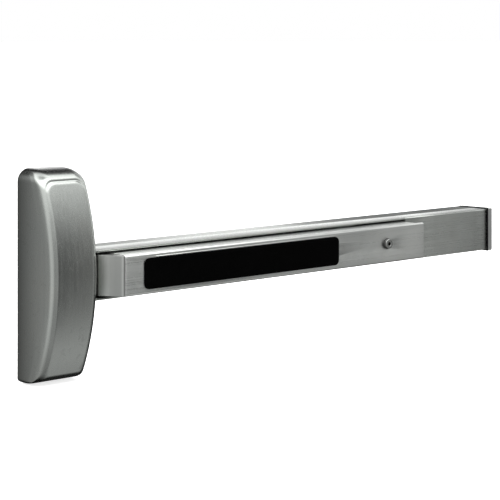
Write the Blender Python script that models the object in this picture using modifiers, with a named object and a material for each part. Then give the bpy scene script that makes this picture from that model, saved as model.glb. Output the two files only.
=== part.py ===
"""Touch-bar exit device for an outward-opening door, modelled as an assembly.

The origin is on the door face (Y = 0) where the rail's centre line meets the chassis centre line.
+X runs along the rail away from the chassis, +Y points into the door, +Z is up, so the front of
a piece is its lowest Y. Dimensions are millimetres.
"""

import math

import bmesh
import bpy
from mathutils import Matrix, Vector

MM = 0.001
GAP = 0.3  # clearance between neighbouring pieces

# cutter spans that run right through what they cut
PLATE_THROUGH = (-8.0, 3.0)  # on Y, through the plates near the door
LINK_THROUGH = (-20.0, -2.0)  # on Y, through the flat linkage pieces
ACROSS = (-20.0, 20.0)  # on Z, through the linkage along the rail

# mounting rail: a channel with its web on the door
RAIL_X = (20.0, 606.1)
RAIL_HALF_HEIGHT, RAIL_DEPTH, RAIL_WALL = 24.3, 45.6, 2.0
FILLER_X = (463.5, RAIL_X[1])
# plates riveted to the rail's web
PLATE_BACK = -(RAIL_WALL + GAP)
PLATE_FRONT = PLATE_BACK - 2.0
PLATE_Y = (PLATE_FRONT, PLATE_BACK)
THICK_PLATE_FRONT = PLATE_BACK - 2.6
THICK_PLATE_Y = (THICK_PLATE_FRONT, PLATE_BACK)
# fixings through the web, as (x, z)
TONGUE_RIVETS = ((54.0, -12.0), (54.0, 12.0))
KEEPER_RIVET = (436.0, 0.0)
BRACKET_RIVET = (570.0, 0.0)
BRACKET_HOLES = ((582.0, -12.0), (582.0, 12.0))

# push bar
BAR_X = (50.7, 471.0)
BAR_HALF_HEIGHT, BAR_FRONT, BAR_BACK, BAR_WALL = 20.1, -67.0, -36.0, 1.8
BAR_INSIDE = BAR_FRONT + BAR_WALL + GAP  # front of pieces behind the bar's face
BAR_TRAVEL = 18.0
DOGGING_X, DOGGING_Z = 412.4, 1.0
DOGGING_AT = (DOGGING_X, DOGGING_Z)

# linkage
CRANKS = (("left", 105.0), ("right", 360.0))
CRANK_Y, CRANK_RIVET_Z = -26.0, 15.6
ARM_BAR, ARM_LINK, ARM_LIFT = 26.0, 17.0, 18.0
HALF_SWING = math.asin(BAR_TRAVEL / 2 / ARM_BAR)
LEVER_PIVOT = (8.0, 17.0)  # x, z
PIN_RADIUS, SMALL_PIN_RADIUS = 2.5, 2.0
SLOT_PLAY, SLOT_END_PLAY = 0.35, 0.15

for leftover in list(bpy.data.objects):
    bpy.data.objects.remove(leftover, do_unlink=True)

PARTS = bpy.data.collections.new("panic_exit_bar")
bpy.context.scene.collection.children.link(PARTS)


def material(name, colour, roughness, metallic):
    made = bpy.data.materials.new(name)
    made.use_nodes = True
    shader = made.node_tree.nodes["Principled BSDF"]
    shader.inputs["Base Color"].default_value = (*colour, 1.0)
    shader.inputs["Roughness"].default_value = roughness
    shader.inputs["Metallic"].default_value = metallic
    return made


SATIN = material("satin_stainless", colour=(0.42, 0.44, 0.42), roughness=0.32, metallic=1.0)
ZINC = material("zinc_steel", colour=(0.55, 0.56, 0.55), roughness=0.4, metallic=1.0)
CAST = material("cast_zinc", colour=(0.35, 0.36, 0.35), roughness=0.5, metallic=1.0)
SPRING_STEEL = material("spring_steel", colour=(0.3, 0.3, 0.3), roughness=0.3, metallic=1.0)
BLACK = material("black_pad", colour=(0.01, 0.01, 0.01), roughness=0.6, metallic=0.0)
RUBBER = material("bumper_rubber", colour=(0.02, 0.02, 0.02), roughness=0.8, metallic=0.0)


# ---------------------------------------------------------------- objects and modifiers


def part(ob, name, mat):
    """Finishes an object as a named piece of the assembly."""
    for owner in list(ob.users_collection):
        owner.objects.unlink(ob)
    PARTS.objects.link(ob)
    ob.name = name
    ob.data.name = name
    ob.data.materials.clear()
    ob.data.materials.append(mat)


def scene_object(name, data):
    ob = bpy.data.objects.new(name, data)
    bpy.context.scene.collection.objects.link(ob)
    return ob


def evaluated_mesh(ob):
    graph = bpy.context.evaluated_depsgraph_get()
    return bpy.data.meshes.new_from_object(ob.evaluated_get(graph))


def bake(ob):
    """Replaces an object's mesh with its evaluated mesh, and clears its modifiers."""
    made = evaluated_mesh(ob)
    ob.modifiers.clear()
    ob.data = made
    return ob


def bake_curve(ob):
    """Replaces a curve object with a welded mesh object in the same place."""
    made = evaluated_mesh(ob)
    body = bmesh.new()
    body.from_mesh(made)
    bmesh.ops.remove_doubles(body, verts=body.verts, dist=1e-6)
    bmesh.ops.recalc_face_normals(body, faces=body.faces)
    body.to_mesh(made)
    body.free()
    piece = scene_object("piece", made)
    piece.matrix_world = ob.matrix_world.copy()
    bpy.data.objects.remove(ob, do_unlink=True)
    return piece


def boolean(ob, operation, others):
    for other in others:
        step = ob.modifiers.new(operation.lower(), "BOOLEAN")
        step.operation = operation
        step.object = other
        bake(ob)
        bpy.data.objects.remove(other, do_unlink=True)
    return ob


def cut(ob, *others):
    return boolean(ob, "DIFFERENCE", others)


def join(ob, *others):
    return boolean(ob, "UNION", others)


def bevel(ob, width, segments, angle=50.0):
    step = ob.modifiers.new("bevel", "BEVEL")
    step.width = width * MM
    step.segments = segments
    step.limit_method = "ANGLE"
    step.angle_limit = math.radians(angle)
    return bake(ob)


# ---------------------------------------------------------------- shapes

TURN = {
    "X": Matrix.Rotation(math.pi / 2, 4, "Y"),
    "Y": Matrix.Rotation(-math.pi / 2, 4, "X"),
    "Z": Matrix.Identity(4),
}
PLANE = {
    "XY": Matrix.Identity(4),
    "XZ": Matrix.Rotation(math.pi / 2, 4, "X"),
    "YZ": Matrix(((0, 0, 1, 0), (1, 0, 0, 0), (0, 1, 0, 0), (0, 0, 0, 1))),
}


def around(half, middle=0.0):
    """The range that reaches half to each side of middle."""
    return (middle - half, middle + half)


def mirrored(near, far):
    """A range on both sides of zero."""
    return ((-near, -far), (near, far))


def place_on_axis(ob, axis, at, along):
    """Turns a piece from Z to an axis; at holds its other two coordinates in XYZ order."""
    ob.data.transform(TURN[axis])
    centre = list(at)
    centre.insert("XYZ".index(axis), along)
    ob.location = Vector(centre) * MM
    return ob


def box(x, y, z):
    """A box from its ranges along the three axes."""
    bpy.ops.mesh.primitive_cube_add(size=1.0)
    ob = bpy.context.active_object
    low = Vector((min(x), min(y), min(z))) * MM
    high = Vector((max(x), max(y), max(z))) * MM
    ob.data.transform(Matrix.Diagonal((*(high - low), 1.0)))
    ob.location = (low + high) / 2
    return ob


def rod(axis, span, at, radius, sides=20):
    """A cylinder over span on an axis, at the other two coordinates in XYZ order."""
    bpy.ops.mesh.primitive_cylinder_add(
        vertices=sides, radius=radius * MM, depth=abs(span[1] - span[0]) * MM
    )
    return place_on_axis(bpy.context.active_object, axis, at, (span[0] + span[1]) / 2)


def rods(axis, span, places, radius, sides=20):
    return [rod(axis, span, at, radius, sides) for at in places]


def plate_holes(places, radius, sides):
    return rods("Y", PLATE_THROUGH, places, radius, sides)


def turned(axis, profile, at, steps):
    """A turned piece from (radius, position on the axis) points, high end first."""
    mesh = bpy.data.meshes.new("profile")
    points = [(radius * MM, 0.0, height * MM) for radius, height in profile]
    edges = [(i, i + 1) for i in range(len(points) - 1)]
    if min(radius for radius, _ in profile) > 0:
        edges.append((len(points) - 1, 0))
    mesh.from_pydata(points, edges, [])
    ob = scene_object("turned", mesh)
    screw = ob.modifiers.new("screw", "SCREW")
    screw.axis = "Z"
    screw.steps = screw.render_steps = steps
    screw.use_merge_vertices = True
    screw.merge_threshold = 1e-6
    return place_on_axis(bake(ob), axis, at, 0.0)


def headed_pin(axis, at, low, high, radius):
    """A pin with a thin head at its low end."""
    head_radius, head_top = radius + 1.3, low + 1.0
    profile = [
        (0, high), (radius, high), (radius, head_top),
        (head_radius, head_top), (head_radius, low), (0, low),
    ]
    return turned(axis, profile, at, 14)


def prism(plane, outline, span):
    """A flat outline in a plane, extruded over span along the third axis."""
    curve = bpy.data.curves.new("outline", "CURVE")
    curve.dimensions = "2D"
    curve.fill_mode = "BOTH"
    curve.extrude = abs(span[1] - span[0]) / 2 * MM
    spline = curve.splines.new("POLY")
    spline.points.add(len(outline) - 1)
    for point, (across, up) in zip(spline.points, outline):
        point.co = (across * MM, up * MM, 0.0, 1.0)
    spline.use_cyclic_u = True
    ob = scene_object("outline", curve)
    middle = (span[0] + span[1]) / 2 * MM
    shift = {"XY": (0, 0, middle), "XZ": (0, middle, 0), "YZ": (middle, 0, 0)}[plane]
    ob.matrix_world = Matrix.Translation(shift) @ PLANE[plane]
    bpy.context.view_layer.update()
    ob = bake_curve(ob)
    # move the turn into the mesh, so that only the shift stays on the object
    place = ob.matrix_world.copy()
    ob.data.transform(Matrix.Translation(shift).inverted() @ place)
    ob.matrix_world = Matrix.Translation(shift)
    return ob


def polar(centre, radius, turn):
    """The point at a radius and an angle in radians from centre."""
    return (centre[0] + radius * math.cos(turn), centre[1] + radius * math.sin(turn))


def arc(centre_u, centre_v, radius, start, end, steps):
    """Points of an arc in the plane, in degrees."""
    return [
        polar((centre_u, centre_v), radius, math.radians(start + (end - start) * i / steps))
        for i in range(steps + 1)
    ]


def capsule(start, end, radius, steps=8):
    """The outline of a bar with round ends."""
    turn = math.degrees(math.atan2(end[1] - start[1], end[0] - start[0]))
    return arc(*end, radius, turn - 90, turn + 90, steps) + arc(
        *start, radius, turn + 90, turn + 270, steps
    )


def slot(plane, start, end, pin_radius, span):
    """A cutter for the slot in which a pin wanders from start to end."""
    return prism(plane, capsule(start, end, pin_radius + SLOT_PLAY), span)


def round_rect(left, right, bottom, top, radii, steps=4):
    """A rectangle with its four corner radii, lower left first and then anticlockwise."""
    low_left, low_right, top_right, top_left = radii
    return (
        arc(left + low_left, bottom + low_left, low_left, 180, 270, steps)
        + arc(right - low_right, bottom + low_right, low_right, 270, 360, steps)
        + arc(right - top_right, top - top_right, top_right, 0, 90, steps)
        + arc(left + top_left, top - top_left, top_left, 90, 180, steps)
    )


# ---------------------------------------------------------------- chassis

COVER_HALF_WIDTH = 28.8
COVER_TOP, COVER_BOTTOM = 104.1, -101.8
COVER_DEPTH, COVER_WALL = 57.7, 2.0
COVER_ARC_RADIUS, COVER_ARC_Z = 216.0, 2.5  # long arc of the front
COVER_EDGE = 10.0  # inset of the rolled front edge
COVER_ROLL_SIDE, COVER_ROLL_END = 10.0, 24.0  # depth of that roll
COVER_RADIUS_TOP, COVER_RADIUS_BOTTOM = 13.0, 4.5
CORNER_STEPS, STRAIGHT_STEPS, ROLL_STEPS = 5, 12, 6
COVER_NOTCH_PLAY = 0.6
COVER_SCREW_Y = -11.0
COVER_SCREWS = (("upper", 72.0), ("lower", -68.0))  # z
SIDE_HOLE_X = (20.0, 34.0)


def cover_screw_holes():
    places = [(COVER_SCREW_Y, z) for _, z in COVER_SCREWS]
    return rods("X", SIDE_HOLE_X, places, 2.1)


def cover_depth(z):
    """Depth of the cover's front at a height, on its long arc."""
    rise = math.sqrt(COVER_ARC_RADIUS**2 - (z - COVER_ARC_Z) ** 2)
    return COVER_DEPTH - COVER_ARC_RADIUS + rise


def cover_side(inset):
    """The -X half of the cover's outline, bottom to top, as (x, z, upward normal share)."""
    x = -COVER_HALF_WIDTH + inset
    low, high = COVER_BOTTOM + inset, COVER_TOP - inset
    low_radius = COVER_RADIUS_BOTTOM + 0.5 * inset
    top_radius = COVER_RADIUS_TOP - 0.45 * inset

    def corner(radius, z, start):
        turns = [math.radians(start - 90 * i / CORNER_STEPS) for i in range(CORNER_STEPS + 1)]
        return [(*polar((x + radius, z), radius, turn), math.sin(turn)) for turn in turns]

    straight = high - top_radius - low - low_radius
    return (
        corner(low_radius, low + low_radius, 270)
        + [
            (x, low + low_radius + straight * i / STRAIGHT_STEPS, 0.0)
            for i in range(1, STRAIGHT_STEPS)
        ]
        + corner(top_radius, high - top_radius, 180)
    )


def cover_rings():
    """Half outlines from the door face to the inner edge of the rolled front."""
    rings = [[(x, 0.0, z) for x, z, _ in cover_side(0.0)]]
    for i in range(ROLL_STEPS + 1):
        turn = math.pi / 2 * i / ROLL_STEPS
        ring = []
        for x, z, end in cover_side(COVER_EDGE * (1 - math.cos(turn))):
            roll = COVER_ROLL_SIDE + (COVER_ROLL_END - COVER_ROLL_SIDE) * end**2
            ring.append((x, -cover_depth(z) + roll * (1 - math.sin(turn)), z))
        rings.append(ring)
    return rings


def cover_surface():
    """The cover's open outer surface: side walls, a rolled edge, and the arched front."""
    mesh = bpy.data.meshes.new("cover")
    body = bmesh.new()
    loops = []
    for ring in cover_rings():
        near = [body.verts.new(Vector(point) * MM) for point in ring]
        far = [body.verts.new(Vector((-x, y, z)) * MM) for x, y, z in ring]
        loops.append(near + far[::-1])
    count = len(loops[0])
    for outer, inner in zip(loops, loops[1:]):
        for i in range(count):
            j = (i + 1) % count
            body.faces.new((outer[i], inner[i], inner[j], outer[j]))
    last = loops[-1]
    for i in range(count // 2 - 1):
        body.faces.new((last[i], last[count - 1 - i], last[count - 2 - i], last[i + 1]))
    bmesh.ops.recalc_face_normals(body, faces=body.faces)
    # the surface is open, so its foremost face decides which way is out
    if max(body.faces, key=lambda face: -face.calc_center_median().y).normal.y > 0:
        bmesh.ops.reverse_faces(body, faces=body.faces)
    body.to_mesh(mesh)
    body.free()
    return scene_object("cover", mesh)


def make_cover():
    cover = cover_surface()
    shell = cover.modifiers.new("shell", "SOLIDIFY")
    shell.thickness = COVER_WALL * MM
    shell.offset = -1.0
    shell.use_even_offset = True
    notch = box(
        (20, 40), (-RAIL_DEPTH - COVER_NOTCH_PLAY, 5), around(RAIL_HALF_HEIGHT + COVER_NOTCH_PLAY)
    )
    part(cut(bake(cover), notch, *cover_screw_holes()), "chassis_cover", SATIN)


def make_base():
    notch_x = 19.6
    tongue_half_height = 20.0
    root = -0.5  # how near the door the joined pieces start, inside the plate
    base = prism("XZ", round_rect(-26.2, 26.2, -99.1, 101.4, (4, 4, 12, 12)), (-3.0, 0.0))
    base = cut(base, box((notch_x, 40), (-10, 5), around(25.0)))
    base = join(
        base,
        # the tongue steps forward and runs over the rail's web
        box((16.5, notch_x), (THICK_PLATE_FRONT, root), around(tongue_half_height)),
        box((16.6, 66.0), THICK_PLATE_Y, around(tongue_half_height)),
        # tabs for the cover screws on both sides
        *[
            box(x, (-18, root), around(7, z))
            for x in mirrored(23.7, 26.1)
            for _, z in COVER_SCREWS
        ],
        # ledge above the lift spring
        box((-14.5, -3.5), (-12.0, root), (92.4, 94.6)),
    )
    base = cut(
        base,
        *cover_screw_holes(),
        *plate_holes([(x, z) for x in (-17, 14) for z in (-82, 84)], 3.0, 20),
        *plate_holes(TONGUE_RIVETS, 2.0, 16),
        box((-13, -6), PLATE_THROUGH, (42, 68)),
    )
    part(base, "chassis_base", ZINC)


def make_cover_screws():
    profile = [
        (0, 31.1), (2.6, 30.9), (3.8, 30.0), (3.8, 29.1), (1.7, 29.1), (1.7, 21.5), (0, 21.5),
    ]
    for label, z in COVER_SCREWS:
        part(turned("X", profile, (COVER_SCREW_Y, z), 16), f"cover_screw_{label}", SATIN)


# ---------------------------------------------------------------- mounting rail

END_SCREW_Y = -24.0
END_SCREWS = (("lower", -11.0), ("upper", 11.0))  # z
END_SCREW_PLACES = [(END_SCREW_Y, z) for _, z in END_SCREWS]
END_THROUGH = (595.0, 620.0)  # on X, through the end pieces
GASKET_X, GASKET_PROUD = (604.3, 605.7), 1.5
CAP_X, CAP_PROUD, CAP_WALL = (606.4, 613.2), 1.2, 1.9


def make_rail():
    half, wall, depth = RAIL_HALF_HEIGHT, RAIL_WALL, RAIL_DEPTH
    outline = [
        (0, -half), (0, half), (-depth, half), (-depth, half - wall),
        (-wall, half - wall), (-wall, -half + wall), (-depth, -half + wall), (-depth, -half),
    ]
    crank_rivets = [(x, z) for _, x in CRANKS for z in around(CRANK_RIVET_Z)]
    rail = cut(
        prism("YZ", outline, RAIL_X),
        # shorter flanges behind the filler
        box((FILLER_X[0] - GAP, 620), (-60, -43.8), around(30)),
        *plate_holes(TONGUE_RIVETS, 2.0, 16),
        *plate_holes(crank_rivets + [KEEPER_RIVET, BRACKET_RIVET], 1.9, 12),
        *plate_holes(BRACKET_HOLES, 2.7, 16),
    )
    part(rail, "mounting_rail", SATIN)


def make_rivet(name, at, plate_y):
    """A rivet on the rail's web, with its head on a plate whose outer face is at plate_y."""
    top = plate_y - GAP
    profile = [
        (0, -0.3), (1.6, -0.3), (1.6, top), (2.9, top), (2.9, top - 0.6), (2.0, top - 1.3),
        (0, top - 1.3),
    ]
    part(turned("Y", profile, at, 10), name, ZINC)


def make_filler():
    half, radius = RAIL_HALF_HEIGHT, 1.3
    edge_y = -RAIL_DEPTH + radius
    face_back, leg_root, leg_end = -44.1, -44.0, -30
    leg_outer, leg_inner = 21.35, 19.95
    outline = [
        (edge_y, half),
        *arc(edge_y, half - radius, radius, 90, 180, 3),
        *arc(edge_y, -half + radius, radius, 180, 270, 3),
        (face_back, -half), (face_back, -leg_outer), (leg_end, -leg_outer),
        (leg_end, -leg_inner), (leg_root, -leg_inner),
        (leg_root, leg_inner), (leg_end, leg_inner),
        (leg_end, leg_outer), (face_back, leg_outer), (face_back, half),
    ]
    part(prism("YZ", outline, FILLER_X), "rail_filler", SATIN)


def make_end_bracket():
    end_x = 605
    bracket = join(
        box((560, end_x), THICK_PLATE_Y, around(19.5)),
        box((602.4, end_x), (-40, PLATE_BACK), around(19.2)),
    )
    bracket = cut(
        bracket,
        *rods("X", END_THROUGH, END_SCREW_PLACES, 2.0, 16),
        *plate_holes(BRACKET_HOLES, 2.7, 16),
        *plate_holes([BRACKET_RIVET], 1.9, 12),
    )
    part(bracket, "end_bracket", ZINC)


def tapered(x, proud, back):
    """A block proud of the rail, whose top and bottom draw in to back at the door."""
    front, half = -RAIL_DEPTH - proud, RAIL_HALF_HEIGHT
    outline = [
        (0, -half - back), (front, -half - proud), (front, half + proud), (0, half + back)
    ]
    return prism("YZ", outline, x)


def make_gasket():
    gasket = bevel(tapered(GASKET_X, GASKET_PROUD, 0.9), 0.4, 1)
    cut_x = (GASKET_X[0] - 5, GASKET_X[1] + 5)
    gasket = cut(
        gasket,
        box(cut_x, (-RAIL_DEPTH - GAP, 5), around(RAIL_HALF_HEIGHT + GAP)),
        box(cut_x, (-1.8, 10), around(40)),
    )
    part(gasket, "end_cap_gasket", RUBBER)


def make_end_cap():
    start, end = CAP_X
    front, half = -RAIL_DEPTH - CAP_PROUD, RAIL_HALF_HEIGHT + CAP_PROUD
    cap = bevel(tapered(CAP_X, CAP_PROUD, 0.5), 1.6, 3)
    cap = cut(cap, box((start - 5, end - 2.6), (front + CAP_WALL, 5), around(half - CAP_WALL - 0.6)))
    # screw bosses, drilled through and counterbored for the heads
    cap = join(cap, *rods("X", (605.4, end - 2.0), END_SCREW_PLACES, 4.6, 16))
    cap = cut(
        cap,
        *rods("X", END_THROUGH, END_SCREW_PLACES, 2.0, 16),
        *rods("X", (end - 1.9, END_THROUGH[1]), END_SCREW_PLACES, 3.9),
        box((start - 5, end + 5), (-0.6, 10), around(40)),
    )
    part(cap, "end_cap", SATIN)


def make_end_cap_screws():
    top, tip = CAP_X[1] - GAP, 600.5
    profile = [
        (0, top), (2.4, top), (3.5, top - 0.5), (3.5, top - 1.3), (1.6, top - 1.3),
        (1.6, tip), (0, tip),
    ]
    for label, z in END_SCREWS:
        part(turned("X", profile, (END_SCREW_Y, z), 16), f"end_cap_screw_{label}", ZINC)


# ---------------------------------------------------------------- push bar

BAR_RADIUS, BAR_FLANGE_END = 2.2, 460.5
SLANT_X, SLANT_Y = (34.14, 48.6), -45.0
TONGUE_Y = -41.2  # front of the part that slides into the cover
PAD_X, PAD_HALF_HEIGHT, PAD_FRONT, PAD_RADIUS = (73.8, 336.0), 15.2, -69.3, 5.5


def make_push_bar():
    half, radius, wall = BAR_HALF_HEIGHT, BAR_RADIUS, BAR_WALL
    outline = [
        (BAR_BACK, half),
        *arc(BAR_FRONT + radius, half - radius, radius, 90, 180, 4),
        *arc(BAR_FRONT + radius, -half + radius, radius, 180, 270, 4),
        (BAR_BACK, -half), (BAR_BACK, -half + wall), (BAR_FRONT + wall, -half + wall),
        (BAR_FRONT + wall, half - wall), (BAR_BACK, half - wall),
    ]
    face_through = (-75, -60)
    bar = cut(
        prism("YZ", outline, BAR_X),
        box((BAR_FLANGE_END, 490), (-64.0, -20), around(30)),
        box((90, 320), face_through, around(8)),
        rod("Y", face_through, DOGGING_AT, 5.7, 24),
    )
    part(bar, "push_bar", SATIN)


def make_push_bar_end():
    """The hollow slanted end of the bar towards the chassis, with a tab behind the bar's face."""
    half, wall = BAR_HALF_HEIGHT, BAR_WALL
    low_x, high_x = SLANT_X
    open_x, tip_x = 50.35, 22
    inner_x = low_x + wall
    outside = [
        (open_x, BAR_FRONT), (high_x, BAR_FRONT), (low_x, SLANT_Y), (low_x, TONGUE_Y),
        (tip_x, TONGUE_Y), (tip_x, BAR_BACK), (open_x, BAR_BACK),
    ]
    inside = [
        (60, BAR_FRONT + wall), (high_x + 0.95, BAR_FRONT + wall), (inner_x, -44.0),
        (inner_x, TONGUE_Y + wall), (10, TONGUE_Y + wall), (10, -20), (60, -20),
    ]
    end = bevel(prism("XY", outside, around(half - 0.4)), 1.2, 2, 80)
    end = cut(end, prism("XY", inside, around(half - wall)))
    end = join(end, box((48.0, 62), (BAR_INSIDE, BAR_INSIDE + 1.6), around(15)))
    part(end, "push_bar_end", SATIN)


def make_push_pad():
    outline = round_rect(*PAD_X, *around(PAD_HALF_HEIGHT), (PAD_RADIUS,) * 4)
    pad = bevel(prism("XZ", outline, (PAD_FRONT, BAR_FRONT - GAP)), 0.8, 1, 70)
    # rib through the slot in the bar's face
    pad = join(pad, box((90.4, 319.6), (-67.8, -65.4), around(7.6)))
    part(pad, "push_pad", BLACK)


def make_dogging_rosette():
    profile = [
        (4.35, -63.4), (5.4, -63.4), (5.4, -67.3), (6.0, -67.3), (6.0, -67.7), (5.2, -69.9),
        (5.0, -70.1), (4.35, -70.1),
    ]
    part(turned("Y", profile, DOGGING_AT, 24), "dogging_rosette", SATIN)


def make_dogging_barrel():
    """The barrel with its hexagonal key socket, and the clip in its groove."""
    profile = [
        (0, -52.4), (3.0, -52.4), (3.0, -57.5), (4.0, -57.5), (4.0, -61.4), (3.0, -61.4),
        (3.0, -62.9), (4.0, -62.9), (4.0, -69.9), (0, -69.9),
    ]
    socket = rod("Y", (-75, -63.5), DOGGING_AT, 2.3, 6)
    part(cut(turned("Y", profile, DOGGING_AT, 20), socket), "dogging_barrel", ZINC)
    clip = [(3.3, -61.8), (5.6, -61.8), (5.6, -62.5), (3.3, -62.5)]
    part(turned("Y", clip, DOGGING_AT, 20), "dogging_clip", SPRING_STEEL)


def make_dogging_hook():
    reach, half_width = 11.0, 3.5
    through = (-60, -50)
    tip = (DOGGING_X, DOGGING_Z + reach - half_width)
    hook = cut(
        prism("XZ", capsule(DOGGING_AT, tip, half_width + 1.2), (-57.1, -54.7)),
        rod("Y", through, DOGGING_AT, 3.35),
        # narrow the upper part on both sides
        *[
            box((DOGGING_X + side * 3.6, DOGGING_X + side * 10), through, (5.4, 30))
            for side in (1, -1)
        ],
    )
    part(hook, "dogging_hook", ZINC)


def make_dogging_keeper():
    """A plate with an upright whose front lip turns towards -X."""
    start, upright_end, lip_front = 426, 428.2, -41.5
    keeper = join(
        box((start, 442), PLATE_Y, around(9)),
        box((start, upright_end), (lip_front, PLATE_BACK), around(7)),
        box((417.6, upright_end), (lip_front, -39.3), around(7)),
    )
    keeper = cut(keeper, *plate_holes([KEEPER_RIVET], 1.9, 12))
    part(keeper, "dogging_keeper", ZINC)


# ---------------------------------------------------------------- cranks and link

CONNECTOR_RIVET = (29.0, -10.0)  # x, y
CLEAR_PIN, CLEAR_SMALL_PIN = PIN_RADIUS + GAP, SMALL_PIN_RADIUS + GAP
FLAT_LINK_Y = (-9.4, -6.6)
LEVER_Y = (-13.6, -10.6)
LEVER_LINK_PIN = polar(LEVER_PIVOT, ARM_LINK, HALF_SWING - math.pi / 2)
LEVER_LIFT_PIN = polar(LEVER_PIVOT, ARM_LIFT, math.pi + HALF_SWING)


def bar_pin_at(x):
    return polar((x, CRANK_Y), ARM_BAR, -HALF_SWING)


def link_pin_at(x):
    return polar((x, CRANK_Y), ARM_LINK, math.pi / 2 - HALF_SWING)


def make_crank_bracket(label, x):
    """A plate with two round-nosed ears that hold the crank's pivot pin."""
    centre = (x, CRANK_Y)
    root, shoulder = -2.4, -22
    ear = [
        (x + 8, root), (x + 8, shoulder), *arc(x, -25.5, 6.5, 0, -180, 6),
        (x - 8, shoulder), (x - 8, root),
    ]
    frame = join(
        box(around(10, x), PLATE_Y, around(19)),
        *[prism("XY", ear, z) for z in mirrored(10.0, 12.0)],
    )
    frame = cut(
        frame,
        rod("Z", ACROSS, centre, CLEAR_PIN),
        *plate_holes([(x, z) for z in around(CRANK_RIVET_Z)], 1.9, 12),
    )
    name = f"crank_bracket_{label}"
    part(frame, name, ZINC)
    make_rivet(f"{name}_rivet_upper", (x, CRANK_RIVET_Z), PLATE_FRONT)
    make_rivet(f"{name}_rivet_lower", (x, -CRANK_RIVET_Z), PLATE_FRONT)
    part(headed_pin("Z", centre, -13.4, 13.8, PIN_RADIUS), f"crank_pivot_pin_{label}", ZINC)


def make_bell_crank(label, x):
    """A hub with two pairs of arms, and the pins at the arms' ends."""
    centre, bar_pin, link_pin = (x, CRANK_Y), bar_pin_at(x), link_pin_at(x)
    crank = join(
        rod("Z", (-9.6, 9.6), centre, 6.0, 24),
        *[
            prism("XY", capsule(centre, tip, radius, 6), z)
            for z in mirrored(2.0, 4.6)
            for tip, radius in ((bar_pin, 4.7), (link_pin, 4.3))
        ],
    )
    crank = cut(
        crank,
        rod("Z", ACROSS, centre, CLEAR_PIN),
        rod("Z", ACROSS, bar_pin, CLEAR_PIN),
        rod("Z", ACROSS, link_pin, CLEAR_SMALL_PIN, 16),
    )
    part(crank, f"bell_crank_{label}", CAST)
    part(headed_pin("Z", bar_pin, -8.6, 8.0, PIN_RADIUS), f"bar_pin_{label}", ZINC)
    part(headed_pin("Z", link_pin, -6.2, 5.6, SMALL_PIN_RADIUS), f"link_pin_{label}", ZINC)


def make_bar_lug(label, x):
    """A clevis behind the bar's face, slotted for the crank pin's sideways wander."""
    root, nose_y, nose_radius = -63.0, -34.5, 6.7
    nose_x = x + 25.2
    cheek = [
        (x + 16, root), (nose_x - nose_radius, nose_y),
        *arc(nose_x, nose_y, nose_radius, 180, 0, 8),
        (nose_x + nose_radius, nose_y), (x + 36, root),
    ]
    lug = join(
        box((x + 15, x + 37), (BAR_INSIDE, BAR_INSIDE + 2.0), around(14)),
        *[prism("XY", cheek, z) for z in mirrored(5.0, 7.0)],
    )
    pin_x, pin_y = bar_pin_at(x)
    lug = cut(lug, slot("XY", (pin_x, pin_y), (x + ARM_BAR, pin_y), PIN_RADIUS, ACROSS))
    part(lug, f"bar_lug_{label}", ZINC)


def make_link_rod():
    pins = [link_pin_at(x) for _, x in CRANKS]
    thickness = around(1.6)
    link = join(
        box((22, pins[-1][0] + 8), (-13.4, -6.6), thickness),
        *[
            prism("XY", capsule((x - 3.5, -9.8), (x + 3.5, -9.8), 4.9, 6), thickness)
            for x, _ in pins
        ],
    )
    # the pins are nearest the door at mid-swing
    slot_top = CRANK_Y + ARM_LINK + SLOT_END_PLAY
    link = cut(
        link,
        *[
            slot("XY", (x, y - SLOT_END_PLAY), (x, slot_top), SMALL_PIN_RADIUS, ACROSS)
            for x, y in pins
        ],
        rod("Z", ACROSS, CONNECTOR_RIVET, 1.9, 12),
    )
    part(link, "link_rod", ZINC)


def make_link_connector():
    """A flat plate whose two cheeks clasp the link rod, and their rivet."""
    connector = join(
        box((8.6, 21.4), FLAT_LINK_Y, (-6, 7)),
        *[box((20.4, 36), (-13.2, -6.7), z) for z in mirrored(1.95, 4.1)],
    )
    pin_x, pin_z = LEVER_LINK_PIN
    slot_low = (pin_x, LEVER_PIVOT[1] - ARM_LINK - SLOT_END_PLAY)
    slot_high = (pin_x, pin_z + SLOT_END_PLAY)
    connector = cut(
        connector,
        slot("XZ", slot_low, slot_high, SMALL_PIN_RADIUS, LINK_THROUGH),
        rod("Z", ACROSS, CONNECTOR_RIVET, 1.9, 12),
    )
    part(connector, "link_connector", ZINC)
    profile = [(0, 5.6), (2.6, 5.6), (2.6, 4.4), (1.6, 4.4), (1.6, -4.8), (0, -4.8)]
    part(turned("Z", profile, CONNECTOR_RIVET, 12), "link_connector_rivet", ZINC)


def make_lever_post():
    """The transfer lever's pivot post, and the clip in its groove."""
    profile = [
        (0, -3.3), (6.0, -3.3), (6.0, -10.2), (3.0, -10.2), (3.0, -14.1), (2.2, -14.1),
        (2.2, -15.1), (3.0, -15.1), (3.0, -16.2), (0, -16.2),
    ]
    part(turned("Y", profile, LEVER_PIVOT, 20), "lever_pivot_post", ZINC)
    clip = [(2.5, -14.4), (5.2, -14.4), (5.2, -14.9), (2.5, -14.9)]
    part(turned("Y", clip, LEVER_PIVOT, 16), "lever_clip", SPRING_STEEL)


def make_transfer_lever():
    pins = (("link", LEVER_LINK_PIN), ("lift", LEVER_LIFT_PIN))
    lever = join(
        rod("Y", LEVER_Y, LEVER_PIVOT, 7.0, 24),
        *[prism("XZ", capsule(LEVER_PIVOT, at, 4.2, 6), LEVER_Y) for _, at in pins],
    )
    lever = cut(
        lever,
        rod("Y", LINK_THROUGH, LEVER_PIVOT, 3.35),
        *rods("Y", LINK_THROUGH, [at for _, at in pins], CLEAR_SMALL_PIN, 16),
    )
    part(lever, "transfer_lever", CAST)
    for label, at in pins:
        part(headed_pin("Y", at, -15.0, -5.5, SMALL_PIN_RADIUS), f"lever_{label}_pin", ZINC)


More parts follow.
